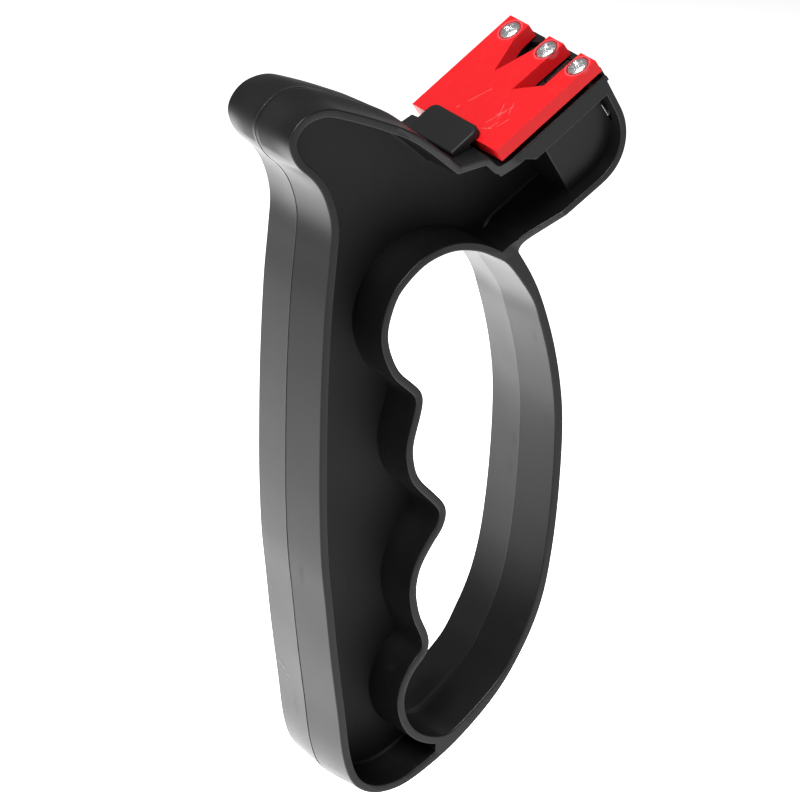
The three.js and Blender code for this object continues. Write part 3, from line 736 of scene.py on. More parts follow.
# ---- dressing -------------------------------------------------------------------------------
def dress(piece: bpy.types.Object, drawing: Drawing, material: bpy.types.Material,
          body: Body, nodes: Sequence[str], bevel: float = 0.0,
          seam: float = 0.0) -> None:
    """Gives a made piece its place, finish, soft edges and body.

    Args:
        piece: the object, in millimetres on the grip's drawing.
        drawing: where the drawing lies.
        material: its finish.
        body: the body it rides on.
        nodes: the frame's nodes it stands for.
        bevel: radius of its edges in millimetres, or 0 to leave them.
        seam: edges wholly this near to the parting plane are sharp, in millimetres.
    """
    mesh = piece.data
    mesh.transform(drawing.to_row())
    mesh.materials.clear()
    mesh.materials.append(material)
    mesh.polygons.foreach_set("use_smooth", np.ones(len(mesh.polygons), bool))
    mesh.set_sharp_from_angle(angle=CREASE)
    if seam:
        places = np.empty(3 * len(mesh.vertices))
        ends = np.empty(2 * len(mesh.edges), int)
        sharp = np.empty(len(mesh.edges), bool)
        mesh.vertices.foreach_get("co", places)
        mesh.edges.foreach_get("vertices", ends)
        mesh.edges.foreach_get("use_edge_sharp", sharp)
        near = np.abs(places[1::3]) < seam * MM
        sharp |= near[ends].reshape(-1, 2).all(axis=1)
        mesh.edges.foreach_set("use_edge_sharp", sharp)
    if bevel:
        soft = piece.modifiers.new("edges", "BEVEL")
        soft.width = bevel * MM
        soft.segments = 3
        soft.limit_method = "ANGLE"
        soft.angle_limit = CREASE
        soft.harden_normals = True
        soft.use_clamp_overlap = True
        soft.miter_outer = "MITER_ARC"
    else:
        even = piece.modifiers.new("normals", "WEIGHTED_NORMAL")
        even.mode = "FACE_AREA"
        even.keep_sharp = True
    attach(piece, body.value)
    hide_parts(*nodes)
    log.info("%s: %d faces on %s", piece.name, len(mesh.polygons), body.value)


# ---- cartridge sizes shared by several pieces -----------------------------------------------
@dataclass(frozen=True)
class CartridgeSizes:
    """Sizes that the head, the cover, the carrier and the screws share."""

    clearance: float = 0.3
    width: float = 31.1
    length: float = 27.3
    end_gap: float = 0.7
    cover_lift: float = 1.3
    cover_thickness: float = 2.85
    nose: float = 0.7
    tray_wall: float = 1.4
    tray_floor: float = 1.2
    seat: float = 4.0
    well_start: float = 11.7
    rail_reach: float = 0.6
    rail_height: float = 1.0
    knife_y: float = 5.0
    scissors_y: float = -7.1
    slot_width: float = 2.6
    slot_depth: float = 13.2
    screw_inset: float = 2.9
    screw_places: tuple[float, float, float] = (11.9, -1.45, -12.75)

    @property
    def half(self) -> float:
        """Half the cartridge's width."""
        return self.width / 2

    @property
    def cover_end(self) -> float:
        """Where the cover ends on s."""
        return self.end_gap + self.length

    @property
    def cover_top(self) -> float:
        """The cover's face on t."""
        return self.cover_lift + self.cover_thickness

    @property
    def head_length(self) -> float:
        """Length of the head on s."""
        return self.cover_end + self.clearance

    @property
    def well_half(self) -> float:
        """Half the width of the well."""
        return self.half - self.tray_wall

    @property
    def well_floor(self) -> float:
        """Floor of the well on t."""
        return self.tray_floor - self.seat

    @property
    def slot_start(self) -> float:
        """Where the blade slots start on s."""
        return self.cover_end - self.slot_depth

    @property
    def screw_s(self) -> float:
        """Screws on s."""
        return self.cover_end - self.screw_inset

    @property
    def slot_places(self) -> tuple[float, float]:
        """Middles of the blade slots on Y."""
        return self.knife_y, self.scissors_y


# ---- grip and head --------------------------------------------------------------------------
@dataclass
class Handle:
    """The black moulding: I-section grip, thumb rest, knuckle guard and head."""

    drawing: Drawing
    sizes: CartridgeSizes
    grip_half: float = 11.85
    web_half: float = 1.3
    rim_wall: float = 1.7
    draft: float = 0.068
    inner_draft: float = 0.03
    back_x: float = -26.0
    neck_x: float = -23.0
    tip_x: float = -32.5
    pitch: float = 26.7
    finger_depth: float = 8.2
    first_ridge: float = 4.7
    opening_top: float = 34.7
    guard_x: float = 31.3
    guard_wall: tuple[float, float] = (1.5, 2.1)
    heel_gusset: float = 1.1
    neck_gusset: float = 1.75
    head_depth: float = 19.65
    head_nose: float = 11.0
    flare_angle: float = 41.0
    flare_length: float = 11.4
    box_half: float = 12.2
    box_start: float = 10.3
    box_lean: float = 0.4
    seat_spare: float = 0.5
    latch_step: float = 3.3
    edge: float = 0.3
    inner_edge: float = 0.2
    fillet: float = 0.6
    spacing: float = 0.5
    neck_join: tuple[float, float] = field(init=False)

    def __post_init__(self) -> None:
        """Works out where the guard meets the head."""
        self.neck_join = self.drawing.head_point(-5.3, -self.head_depth - 1.05)

    def z(self, pitches: float) -> float:
        """Height this many finger pitches below the first ridge."""
        return self.first_ridge - pitches * self.pitch

    def back_knots(self) -> list[tuple[float, float]]:
        """Top edge, thumb rest and palm side, from the head down to the heel."""
        tip, neck, back, z = self.tip_x, self.neck_x, self.back_x, self.z
        return [
            (-2.8, 60.9), (-11, 65.4), (-19, 69), (tip + 8.7, 70.6), (tip + 4, 70),
            (tip + 1, 67.6), (tip, 64.4), (tip + 1.8, 60), (tip + 5.5, 56.2),
            (neck - 1.5, 51.9), (neck, 45.6), (neck - 0.5, 38.5), (back + 1.4, 28),
            (back + 0.5, 13), (back + 0.1, z(0.2)), (back, z(0.7)), (back + 0.4, z(1.15)),
            (back + 1.3, z(1.5)), (back + 2.5, z(1.95)), (back + 4, z(2.4)),
            (back + 5.3, z(2.78)), (back + 7.4, z(3)), (back + 11, z(3.115)),
            (back + 16, z(3.15)),
        ]

    def guard_knots(self) -> list[tuple[float, float]]:
        """Outer edge of the knuckle guard, from the heel up to the neck."""
        guard, z = self.guard_x, self.z
        return [
            (guard - 35.4, z(3.1)), (guard - 25.7, z(2.9)), (guard - 15.9, z(2.59)),
            (guard - 9.2, z(2.25)), (guard - 4.7, z(1.89)), (guard - 2.2, z(1.47)),
            (guard - 0.7, z(1.0)), (guard, z(0.5)), (guard - 0.6, 0.9), (guard - 2.4, 10.8),
            (guard - 5.1, 20), (guard - 7.6, 25.9), self.neck_join,
        ]

    def finger_knots(self) -> list[tuple[float, float]]:
        """Finger side of the opening, from its top down to its bottom."""
        top, ridge, z = self.opening_top, self.first_ridge, self.z
        hollow = -1.8 - self.finger_depth
        return [
            (6.4, top), (2.6, top - 0.2), (-1.4, top - 1.5), (hollow + 5, top - 4.1),
            (hollow + 2, top - 7.6), (hollow, top - 14.8), (hollow + 2.1, ridge + 8),
            (hollow + 5.7, ridge + 4), (-2.4, ridge + 2), (-1.8, ridge), (-2.3, ridge - 3),
            (-4, z(0.34)), (-4, z(0.48)), (-2.8, z(0.63)), (1.2, z(0.8)), (3.2, z(0.89)),
            (3.7, z(0.98)), (2.7, z(1.09)), (0.4, z(1.2)), (-2.4, z(1.37)), (-3.4, z(1.55)),
            (-2.6, z(1.75)), (-0.9, z(1.9)), (-0.3, z(2)), (-1, z(2.09)), (-4.2, z(2.22)),
            (-6.2, z(2.4)), (-5.6, z(2.58)), (-3, z(2.72)), (1.5, z(2.8)), (6, z(2.77)),
        ]

    def outline(self, corner: float) -> np.ndarray:
        """The moulding's outer edge as a closed outline.

        Args:
            corner: how far the ledge's and seat's corners are rounded, or 0 for sharp ones.

        Returns:
            Rows of (x, z), counter-clockwise.
        """
        point, depth, length = self.drawing.head_point, self.head_depth, self.sizes.head_length
        ledge = point(-self.sizes.end_gap - 5.4, 5.1)
        knots = np.array([ledge, *self.back_knots(), *self.guard_knots()])
        grip = softened(evenly(catmull_rom(knots), self.spacing), 6)
        neck = bezier(np.array([self.neck_join, point(-5.2, 0.4 - depth),
                                point(-1.9, 0.4 - depth)]))
        nose_start = point(length - self.head_nose - 1, -depth)
        under = np.array([neck[-1], nose_start])
        nose = bezier(np.array([
            nose_start, point(length - 5.4, -depth), point(length - 0.9, 5.4 - depth),
            point(length - 0.6, self.head_nose - depth),
        ]))
        lower = softened(evenly(np.vstack([neck, under, nose]), self.spacing), 6)
        end = self.drawing.head_points([(length, self.seat_spare), (0, self.seat_spare),
                                        (-self.sizes.end_gap, self.latch_step)])
        corners = np.vstack([lower[-1:], end, grip[:1]])
        if corner:
            whole = rounded(corners, corner)
            steps = len(whole) // len(corners)
            corners = np.vstack([corners[:1], whole[steps:-steps], corners[-1:]])
        sides = [evenly(corners[k:k + 2], 1.5)[1:] for k in range(len(corners) - 1)]
        return np.vstack([grip[:-1], lower, *sides])[:-1]

    def opening(self) -> np.ndarray:
        """The finger opening as a closed outline, seen at the rim's face.

        The guard's inner edge is its outer edge moved in by a wall that grows towards the top.
        """
        guard = catmull_rom(np.array(self.guard_knots()), 120)
        spans = len(self.guard_knots()) - 1
        at = np.arange(0.19, 0.87, 0.06)
        index = np.round(at * spans * 120).astype(int)
        tangent = guard[index + 1] - guard[index - 1]
        tangent = tangent / np.linalg.norm(tangent, axis=1, keepdims=True)
        wall = self.guard_wall[0] + (self.guard_wall[1] - self.guard_wall[0]) * at
        inner = guard[index] + np.column_stack([-tangent[:, 1], tangent[:, 0]]) * wall[:, None]
        top = self.opening_top
        right = [(self.guard_x - 12.9, top - 5.8), (self.guard_x - 16.4, top - 3.2),
                 (self.guard_x - 20.3, top - 1.1)]
        fingers = self.finger_knots()
        knots = np.array([*fingers, *inner.tolist(), *right])
        # Three knots from the other end on both sides make the closed curve meet smoothly.
        looped = catmull_rom(np.vstack([knots[-3:], knots, knots[:3]]))
        closed = looped[3 * 40:-2 * 40 - 1]
        path = evenly(np.vstack([closed, closed[:1]]), self.spacing)[:-1]
        return softened(path, 6, closed=True)

    def half_depth(self, outline: np.ndarray) -> np.ndarray:
        """Half the moulding's depth at each (x, z): the grip's, then a straight ramp across the
        neck, then the head's."""
        turn = math.radians(self.flare_angle)
        way = np.array([math.cos(turn), math.sin(turn)])
        along = (outline - np.array(self.neck_join)) @ way
        share = np.clip(along / self.flare_length, 0, 1)
        return self.grip_half + (self.sizes.half - self.grip_half) * share

    def drafted(self, depth: np.ndarray) -> np.ndarray:
        """How far a wall stands out at a depth, against where it is at the grip's face."""
        return self.draft * (self.grip_half - depth)

    def blank_rings(self, outline: np.ndarray, side: int) -> list[np.ndarray]:
        """Rings of one half of the outer skin, from the parting plane to the flat rim face.

        The last rings follow a quarter circle: depth rises with the sine of the turn while
        the outline draws in by the radius less the cosine.
        """
        half = self.half_depth(shifted(outline, -self.edge))
        rings = []
        for share in (0.0, 0.35, 0.7, 1.0):
            depth = 0.3 + (half - self.edge - 0.3) * share
            rings.append((depth, self.drafted(depth)))
        crown = self.drafted(half - self.edge)
        for below, inset in quarter(self.edge, 5)[1:]:
            rings.append((half - below, crown - inset))
        return [ring_at(shifted(outline, offset), side * depth) for depth, offset in rings]

    def seam_rings(self, outline: np.ndarray) -> list[np.ndarray]:
        """Rings at the parting plane: a thin groove, then a wavering flash on the far half."""
        crown = float(self.drafted(np.array(0.3)))
        step = np.arange(len(outline))
        waver = (np.sin(step * 0.37) + np.sin(step * 0.113 + 1.3) + np.sin(step * 0.83 + 0.4)) / 3
        flash = 0.045 + 0.035 * waver
        rows = [(-0.12, crown - 0.05), (-0.05, crown - 0.13), (0.03, crown - 0.1),
                (0.07, crown + flash), (0.16, crown + 0.035)]
        return [ring_at(shifted(outline, offset), depth) for depth, offset in rows]

    def blank(self) -> Solid:
        """The moulding before anything is hollowed out, with flat ends split at the ramp."""
        outline = self.outline(0.3)
        front = self.blank_rings(outline, -1)[::-1]
        back = self.blank_rings(outline, 1)
        half = self.half_depth(shifted(outline, -self.edge))
        zones = [half <= self.grip_half + 1e-6, half >= self.sizes.half - 1e-6]
        return loft([*front, *self.seam_rings(outline), *back], self.split_cap(zones))

    @staticmethod
    def split_cap(zones: Sequence[np.ndarray]) -> list[list[int]]:
        """Splits a ring's flat end into the grip's part, the ramp and the head's part.

        Args:
            zones: for the grip and for the head, which points of the ring lie in it.

        Returns:
            Three faces as positions on the ring, sharing their border points.
        """
        count = len(zones[0])
        runs = []
        for zone in zones:
            start = int(np.flatnonzero(zone & ~np.roll(zone, 1))[0])
            length = int(zone.sum())
            runs.append([(start + k) % count for k in range(length)])
        grip, head = runs
        between = []
        for a, b in ((grip, head), (head, grip)):
            k = a[-1]
            while k != b[0]:
                between.append(k)
                k = (k + 1) % count
            between.append(k)
        return [grip, head, between]

    def opening_cutter(self, opening: np.ndarray) -> Solid:
        """What is cut for the fingers: narrowest on the parting plane, flared at both rims."""
        rings = []
        for side in (-1, 1):
            part = []
            for depth in np.linspace(0.0, self.grip_half - self.edge, 3):
                part.append((depth, -float(self.drafted(depth))))
            base = part[-1][1]
            for below, inset in quarter(self.edge, 5)[1:]:
                part.append((self.grip_half - below, base + inset))
            part.append((self.sizes.half + 2, base + self.edge))
            made = [ring_at(shifted(opening, offset, clean=True), side * depth)
                    for depth, offset in part]
            rings.append(made)
        return loft([*rings[0][::-1], *rings[1][1:]])

    def pocket_rows(self, fillet: float) -> list[tuple[str, float, float]]:
        """Steps of a pocket wall from above the rim down to the web.

        Each row says whether its depth counts from the rim's face or from the web, the depth,
        and how far the wall stands off its line, towards the pocket's middle.
        """
        rows = [("rim", 2.5, -self.inner_edge)]
        rows += [("rim", -below, -inset) for below, inset in quarter(self.inner_edge, 4)[::-1]]
        rows += [("web", below, inset) for below, inset in quarter(fillet, 5)]
        return rows

    def pocket(self, outline: np.ndarray, wall: float, inwards: int, side: int,
               floor: float, fillet: float) -> Solid:
        """A wall-to-wall body of one side's recess, or of what stands in it.

        Args:
            outline: the edge that the wall follows.
            wall: the wall's thickness at the rim face.
            inwards: -1 to go into the outline, 1 to go out of it.
            side: -1 for the front, 1 for the back.
            floor: depth of its bottom.
            fillet: radius between the wall and the bottom.

        Returns:
            The closed body.
        """
        rings = []
        for origin, depth, offset in self.pocket_rows(fillet):
            half = self.half_depth(shifted(outline, inwards * wall, clean=True))
            deep = half + depth if origin == "rim" else np.full(len(outline), floor + depth)
            slope = self.inner_draft * np.clip(half - deep, 0, None)
            reach = inwards * (wall + offset + slope)
            rings.append(ring_at(shifted(outline, reach, clean=True), side * deep))
        return loft(rings)

    def standing(self, outline: np.ndarray, side: int) -> Solid:
        """Something that stays solid inside the recess, with its rim edge rounded."""
        half, radius = self.sizes.half, self.inner_edge
        rows = [(0.0, 0.0), (half - radius, 0.0)]
        rows += [(half - below, -inset) for below, inset in quarter(radius, 4)[1:]]
        rows.append((half + 4, -radius))
        return loft([ring_at(shifted(outline, offset), side * depth) for depth, offset in rows])

    def recess(self, side: int) -> bpy.types.Object:
        """The hollow of one side, as an object ready to be cut away."""
        outer = self.pocket(self.outline(0.0), self.rim_wall, -1, side, self.web_half, self.fillet)
        ring = self.pocket(self.opening(), self.rim_wall, 1, side, self.web_half - 0.4, 0.5)
        point, wall, seat = self.drawing.head_points, self.rim_wall, self.sizes.seat
        far, thin, step = self.sizes.head_length + 2, 2.2, 5.0
        seat_part = point([(-wall, 2), (far, 2), (far, -seat), (step + seat - thin, -seat),
                           (step, -thin), (-wall / 2, -thin)])[::-1]
        top, foot = self.neck_gusset - self.head_depth, -self.head_depth - 11
        neck = point([(-11, top), (-11, foot), (1, foot), (1, top)])
        low, high = self.z(3.4), self.z(2.75)
        heel = np.array([[self.heel_gusset, low], [self.guard_x, low], [self.guard_x, high],
                         [self.heel_gusset, high]])
        slot_box = self.slot_box().turned(self.drawing)
        steps = [(Cut.AWAY, ring)]
        for part in (seat_part, neck, heel):
            steps.append((Cut.AWAY, self.standing(counter_clockwise(part), side)))
        steps.append((Cut.AWAY, slot_box))
        return carve(outer, steps, f"recess_{side}")

    def slot_box(self) -> Solid:
        """The solid block round the blade slots, which leans towards the palm as it goes down."""
        half, far = self.box_half, self.sizes.head_length + 2
        rings = []
        for t, lean in ((0.0, self.box_lean), (-self.head_depth - 2, -self.box_lean)):
            start = self.box_start + lean
            corners = np.array([[start, -half], [far, -half], [far, half], [start, half]])
            rings.append(level(rounded(corners, 0.3), t))
        return loft(rings)

    def seat_cutter(self) -> Solid:
        """Clears what is above the seat, flared at both sides to soften the seat's edges."""
        gap, far, high = self.sizes.end_gap, self.sizes.head_length + 2, self.sizes.cover_top + 4
        corners = self.drawing.head_points([(0, 0), (far, 0), (far, high), (-gap, high),
                                            (-gap, self.latch_step)])
        half, radius = self.sizes.half, self.inner_edge
        part = [(half + 2, radius)]
        part += [(half - below, inset) for below, inset in quarter(radius, 4)[::-1]]
        rings = [ring_at(shifted(corners, offset), -depth) for depth, offset in part]
        rings += [ring_at(shifted(corners, offset), depth) for depth, offset in part[::-1]]
        return loft(rings)

    def head_cutters(self) -> list[Solid]:
        """Well, rail grooves, blade slots, end channels and the latch's seat."""
        size = self.sizes
        far, deep = size.head_length + 2, -self.head_depth - 6
        floor = size.well_floor
        rail_low = floor + size.clearance
        rail_half = size.well_half + size.rail_reach
        half = size.slot_width / 2
        made = [
            block((size.well_start, far), (-size.well_half, size.well_half), (floor, 2)),
            block((size.well_start, far), (-rail_half, rail_half),
                  (rail_low, rail_low + size.rail_height + 2 * size.clearance)),
        ]
        end = size.head_length - self.rim_wall
        for middle in size.slot_places:
            side = math.copysign(1, middle)
            made.append(block((size.slot_start, far), (middle - half, middle + half), (deep, 2)))
            edges = sorted((middle + side * (half - 0.2), side * (self.box_half + 0.5)))
            made.append(block((end - 1.3, end), (edges[0], edges[1]),
                              (-size.seat - 9, -size.seat)))
        made.append(block((-5.5, 3.0), (-8.8, 8.8), (self.latch_step, 10.2)))
        return [solid.turned(self.drawing) for solid in made]

    def build(self, material: bpy.types.Material) -> None:
        """Makes and dresses the moulding."""
        piece = self.blank().to_object("handle")
        piece = carve(piece, [(Cut.AWAY, self.opening_cutter(self.opening()))], "handle")
        for side in (-1, 1):
            piece = carve(piece, [(Cut.AWAY, self.recess(side))], "handle")
        steps = [(Cut.AWAY, tool) for tool in (self.seat_cutter(), *self.head_cutters())]
        piece = carve(piece, steps, "handle")
        dress(piece, self.drawing, material, Body.HANDLE, ["handle_frame"],
              seam=0.32)


def counter_clockwise(outline: np.ndarray) -> np.ndarray:
    """The outline, turned round if its signed area is negative."""
    x, z = outline[:, 0], outline[:, 1]
    area = float(np.sum(x * np.roll(z, -1) - np.roll(x, -1) * z))
    return outline if area > 0 else outline[::-1]


# ---- latch ----------------------------------------------------------------------------------
@dataclass
class Latch:
    """The sprung tongue that holds the cartridge's inner end."""

    drawing: Drawing
    sizes: CartridgeSizes
    width: float = 17.0
    thickness: float = 1.6
    lap: float = 2.0
    length: float = 7.9
    root: float = 4.2
    corner: float = 2.0

    def build(self, material: bpy.types.Material) -> None:
        """Makes the tongue as a stack of rounded outlines, the top ones drawn in by a quarter
        circle, on a short root."""
        tip = self.sizes.end_gap + self.lap
        start, half = tip - self.length, self.width / 2
        under = self.sizes.cover_top + self.sizes.clearance
        corners = np.array([[start, -half], [tip, -half], [tip, half], [start, half]])
        arc = np.linspace(0, np.pi / 2, 9)
        near = np.column_stack([tip - self.corner + self.corner * np.sin(arc),
                                -half + self.corner - self.corner * np.cos(arc)])
        far = np.column_stack([near[::-1, 0], -near[::-1, 1]])
        outline = np.vstack([corners[:1], near, far, corners[3:]])
        radius = 0.55
        rows = [(under, -0.15), (under + 0.15, 0.0)]
        top = under + self.thickness
        rows += [(top - below, -inset) for below, inset in quarter(radius, 6)]
        rings = [level(shifted(outline, offset), t) for t, offset in rows]
        tongue = loft(rings).turned(self.drawing)
        root = block((start + 0.05, start + self.root), (0.05 - half, half - 0.05),
                     (under - 0.65, under + 0.4)).turned(self.drawing)
        piece = carve(tongue, [(Cut.ADD, root)], "latch")
        dress(piece, self.drawing, material, Body.LATCH, ["latch_tab"])


# ---- cartridge ------------------------------------------------------------------------------
@dataclass
class Cartridge:
    """Red cover, black carrier and three domed screws."""

    drawing: Drawing
    sizes: CartridgeSizes
    knife_depth: float = 12.3
    knife_mouth: float = 3.8
    knife_straight: float = 4.3
    scissors_depth: float = 14.0
    scissors_mouth: float = 3.1
    scissors_straight: float = 10.0
    lean: float = 0.35
    head: float = 4.4
    head_height: float = 1.1
    shank: float = 2.2
    screw_length: float = 5.2

    def screw_points(self) -> tuple[Vector, ...]:
        """Where the screw axes pass the cover's face, in the row frame."""
        x, z = self.drawing.head_point(self.sizes.screw_s, self.sizes.cover_top)
        return tuple(self.drawing.row_point(x, y, z) for y in self.sizes.screw_places)

    def notches(self) -> list[Solid]:
        """The two notches, each wider at the face than below: a V for knives that runs parallel
        near the end, and a one-sided one for scissors."""
        size = self.sizes
        end, past, lean = size.cover_end, size.cover_end + 1, self.lean
        half, bend = self.knife_mouth, size.cover_end - self.knife_straight
        knife = [((end - self.knife_depth, 0.05), (end - self.knife_depth + 1.2, 0.02)),
                 ((bend, half - 0.3), (bend, half - 0.3 - lean)),
                 ((past, half), (past, half - lean))]
        knife += [tuple((s, -y) for s, y in pair) for pair in knife[::-1]]
        half = self.scissors_mouth
        far, near = end - self.scissors_depth, end - self.scissors_straight
        scissors = [((far, half + 0.3), (far + 2 * lean, half + 0.3 - lean)),
                    ((past, half), (past, half - lean)),
                    ((past, -half), (past, lean - half)),
                    ((near, 0.2 - half), (near + 2 * lean, 0.2 + lean - half))]
        top, bottom = size.cover_top, size.cover_lift
        made = []
        for pairs, middle in zip((knife, scissors), size.slot_places):
            upper, lower = np.array(pairs).transpose(1, 0, 2) + (0, middle)
            rise = (upper - lower) / (top - bottom)
            made.append(frustum(upper + rise * 0.5, lower - rise * 0.5, top + 0.5, bottom - 0.5))
        return made

    def build_cover(self, material: bpy.types.Material) -> None:
        """Makes and dresses the red cover."""
        size = self.sizes
        body = block((size.end_gap, size.cover_end), (-size.half, size.half),
                     (size.cover_lift, size.cover_top))
        tools = self.notches()
        for y in size.screw_places:
            hole = self.shank / 2 + size.clearance
            seat = self.head / 2 + size.clearance
            floor = size.cover_top - self.head_height / 2 - size.clearance
            tools.append(turned_profile([(hole, size.cover_lift - 1), (hole, size.cover_top + 1)],
                                        size.screw_s, y, 40))
            tools.append(turned_profile([(seat, floor), (seat, size.cover_top + 1)],
                                        size.screw_s, y, 56))
        steps = [(Cut.AWAY, tool.turned(self.drawing)) for tool in tools]
        piece = carve(body.turned(self.drawing), steps, "cover")
        dress(piece, self.drawing, material, Body.CARTRIDGE, ["cover_plate"], 0.22)

    def build_carrier(self, material: bpy.types.Material) -> None:
        """Makes and dresses the black block that holds the blades."""
        size = self.sizes
        gap = size.clearance
        nose, half = size.cover_end + size.nose, size.well_half - gap
        floor, start = size.well_floor + gap, size.well_start + gap
        top = size.cover_lift - gap
        rail_low, rail_half = size.well_floor + 2 * gap, half + size.rail_reach
        deck = block((size.end_gap + gap, nose), (-half, half), (gap, top))
        steps = [
            (Cut.ADD, block((start, nose - 0.01), (0.01 - half, half - 0.01), (floor, top - 0.1))),
            (Cut.ADD, block((start, nose - 0.02), (-rail_half, rail_half),
                            (rail_low, rail_low + size.rail_height))),
        ]
        slot = size.slot_width / 2
        for middle in size.slot_places:
            sides = (middle - slot, middle + slot)
            steps.append((Cut.AWAY, block((size.slot_start, nose + 1), sides,
                                          (floor - 1, top + 1))))
        for name in ("knife_carbide_lower", "knife_carbide_upper", "scissor_carbide_lower",
                     "scissor_carbide_upper"):
            steps.append((Cut.AWAY, self.blade_pocket(name, top + 1)))
        for y in size.screw_places:
            hole = self.shank / 2 + gap
            steps.append((Cut.AWAY, turned_profile([(hole, floor - 1), (hole, top + 1)],
                                                   size.screw_s, y, 32)))
        turned = [(cut, solid.turned(self.drawing)) for cut, solid in steps]
        piece = carve(deck.turned(self.drawing), turned, "carrier")
        dress(piece, self.drawing, material, Body.CARTRIDGE,
              ["cartridge_carrier"], 0.1)

    def blade_pocket(self, name: str, top: float) -> Solid:
        """Room for one blade, open upwards: the blade's own outline grown by the clearance."""
        corners = np.array([v.co for v in frame["nodes"][name].data.vertices]) / MM
        flat = corners[:, [0, 2]] - self.drawing.shift - np.array(self.drawing.head)
        s, t = flat @ self.drawing.along, flat @ self.drawing.out
        base = float(t.min())
        lowest = np.column_stack([s, corners[:, 1]])[t < base + 0.1]
        unique = np.unique(np.round(lowest, 3), axis=0)
        middle = unique.mean(axis=0)
        turn = np.arctan2(unique[:, 1] - middle[1], unique[:, 0] - middle[0])
        outline = counter_clockwise(unique[np.argsort(turn)])
        return upright(shifted(outline, self.sizes.clearance), base - self.sizes.clearance, top)

    def build_screws(self, material: bpy.types.Material) -> None:
        """Makes and dresses the three screws.

        The head's profile is a low dome: height falls with the sine of the turn as the radius
        grows with its cosine. The cross recess tapers downwards.
        """
        size = self.sizes
        radius, shank = self.head / 2, self.shank / 2
        base = size.cover_top - self.head_height / 2
        edge = base + self.head_height * 0.35
        foot = base - self.screw_length
        profile = [(0.02, foot), (shank * 0.6, foot), (shank, foot + 0.8), (shank, base - 0.02),
                   (radius - 0.08, base), (radius, base + 0.1), (radius, edge)]
        for turn in np.linspace(0, np.pi / 2, 12)[1:]:
            rise = (base + self.head_height - edge) * math.sin(turn)
            profile.append((max(0.02, radius * math.cos(turn)), edge + rise))
        top = base + self.head_height
        for number, y in enumerate(size.screw_places, start=1):
            shape = turned_profile(profile, size.screw_s, y, 64)
            angle = math.radians((12, 47, 71)[number - 1])
            steps = [(Cut.AWAY, self.cross_arm(size.screw_s, y, top, angle + quarter))
                     for quarter in (0.0, math.pi / 2)]
            turned = [(cut, solid.turned(self.drawing)) for cut, solid in steps]
            piece = carve(shape.turned(self.drawing), turned, f"screw_{number}")
            dress(piece, self.drawing, material, Body.CARTRIDGE,
                  [f"cover_screw_{number}"])

    @staticmethod
    def cross_arm(s: float, y: float, top: float, angle: float) -> Solid:
        """One bar of the cross recess, narrower and shorter at its bottom."""
        way = np.array([math.cos(angle), math.sin(angle)])
        side = np.array([-way[1], way[0]])
        rings = []
        for long, wide, t in ((1.75, 0.46, top + 0.3), (1.5, 0.38, top), (0.75, 0.2, top - 0.75)):
            corners = [way * a * long + side * b * wide for a, b in
                       ((-1, -1), (1, -1), (1, 1), (-1, 1))]
            rings.append(level(np.array(corners) + (s, y), t))
        return loft(rings)


def dress_blades(carbide: bpy.types.Material) -> None:
    """Gives the frame's own sharpening bars their finish."""
    for name, node in frame["nodes"].items():
        if "_carbide_" not in name:
            continue
        node.data.materials.clear()
        node.data.materials.append(carbide)
        log.info("%s keeps its own shape", name)


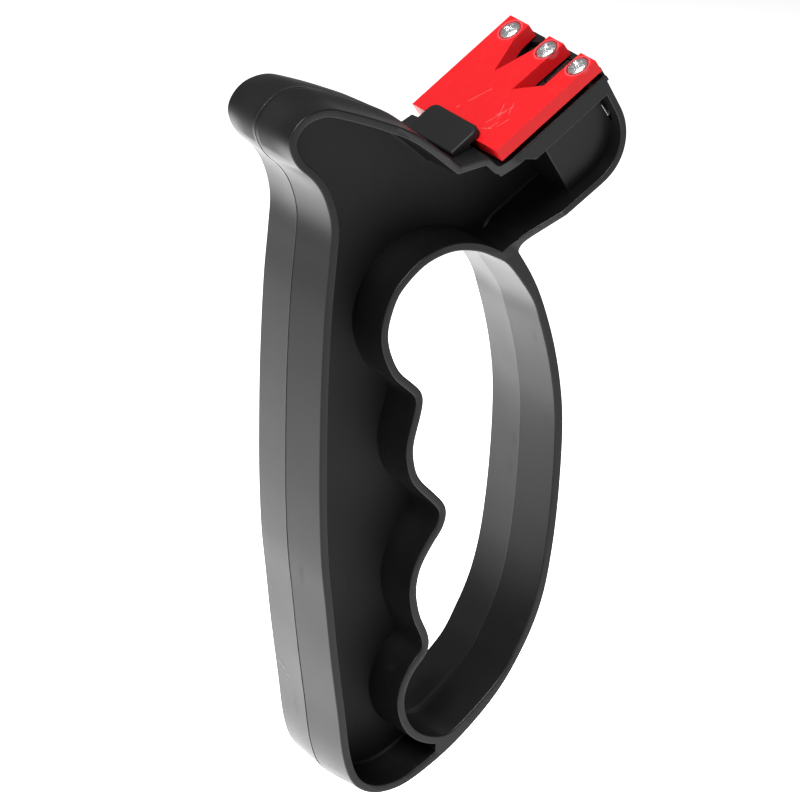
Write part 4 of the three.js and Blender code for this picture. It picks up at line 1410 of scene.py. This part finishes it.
# ---- studio ---------------------------------------------------------------------------------
@dataclass(frozen=True)
class Studio:
    """Pale floor, soft lights and the camera."""

    drawing: Drawing
    azimuth: float = -31.86
    elevation: float = 22.91
    distance: float = 1.438
    lens: float = 323.5
    drop: float = 0.3
    glow: float = 3.6
    painted_light_pool: tuple[float, float] = (0.1, 0.35)

    def back(self) -> Vector:
        """The direction from the object to the camera."""
        a, e = math.radians(self.azimuth), math.radians(self.elevation)
        return Vector((math.sin(a) * math.cos(e), -math.cos(a) * math.cos(e), math.sin(e)))

    def floor(self) -> None:
        """A wide pale floor well below the object that glows by itself, as painted light: a bright
        pool on the far side, dim elsewhere.
        """
        low, reach = CAD_BOX[0].z - self.drop, 6.0
        mesh = bpy.data.meshes.new("floor")
        mesh.from_pydata([(-reach, -reach, low), (reach, -reach, low), (reach, reach, low),
                          (-reach, reach, low)], [], [(0, 1, 2, 3)])
        made = bpy.data.objects.new("floor", mesh)
        bpy.context.scene.collection.objects.link(made)
        graph = Graph("floor")
        # painted light: the floor's emission is bright in a pool round a point behind the object
        # and dim elsewhere
        painted_light_pool = graph.near(Vector((*self.painted_light_pool, low)), 0.0, 1.25)
        graph.finish(Base_Color=grey(0.72), Roughness=0.9, Specular_IOR_Level=0.1,
                     Emission_Color=graph.blend(painted_light_pool, grey(0.09), grey(0.78)),
                     Emission_Strength=self.glow)
        mesh.materials.append(graph.material)

    def light(self, name: str, place: tuple[float, float, float], size: float,
              power: float) -> None:
        """A square soft light aimed at the object."""
        data = bpy.data.lights.new(name, "AREA")
        data.shape = "SQUARE"
        data.size = size
        data.energy = power
        made = bpy.data.objects.new(name, data)
        made.location = place
        made.rotation_euler = Vector(place).to_track_quat("Z", "Y").to_euler()
        bpy.context.scene.collection.objects.link(made)

    def camera(self) -> None:
        """A long lens that looks at the drawing's origin."""
        data = bpy.data.cameras.new("camera")
        data.lens = self.lens
        data.sensor_width = 36.0
        data.clip_start, data.clip_end = 0.05, 60.0
        made = bpy.data.objects.new("camera", data)
        made.location = self.drawing.row_point(0, 0, 0) + self.back() * self.distance
        made.rotation_euler = self.back().to_track_quat("Z", "Y").to_euler()
        bpy.context.scene.collection.objects.link(made)
        bpy.context.scene.camera = made

    def build(self) -> None:
        """Sets up floor, lights, world and camera."""
        self.floor()
        self.light("key", (-0.9, -0.35, 1.5), 0.9, 30.0)
        self.light("side", (-1.4, -0.2, 0.3), 0.7, 3.0)
        world = bpy.data.worlds.new("studio")
        world.use_nodes = True
        backdrop = world.node_tree.nodes["Background"]
        backdrop.inputs["Color"].default_value = grey(0.9)
        backdrop.inputs["Strength"].default_value = 0.25
        bpy.context.scene.world = world
        bpy.context.scene.view_settings.view_transform = "Standard"
        self.camera()


def main() -> None:
    """Builds the sharpener's pieces in order, then the studio."""
    logging.basicConfig(level=logging.INFO, format="%(name)s: %(message)s")
    drawing = Drawing.from_record(frame["record"])
    sizes = CartridgeSizes()
    cartridge = Cartridge(drawing, sizes)
    black = BlackPlastic("black_plastic", drawing, grip=True).make()
    plain = BlackPlastic("carrier_plastic", drawing, level=0.004, roughness=0.42).make()
    latch = BlackPlastic("latch_plastic", drawing, level=0.006, roughness=0.5).make()
    Studio(drawing).build()
    Handle(drawing, sizes).build(black)
    Latch(drawing, sizes).build(latch)
    cartridge.build_cover(RedPlastic("red_plastic", drawing, cartridge.screw_points()).make())
    cartridge.build_carrier(plain)
    cartridge.build_screws(Metal("nickel", level=0.95, roughness=0.3, dent=0.16).make())
    dress_blades(Metal("carbide", level=0.1, roughness=0.4).make())


if __name__ == "__main__":
    main()
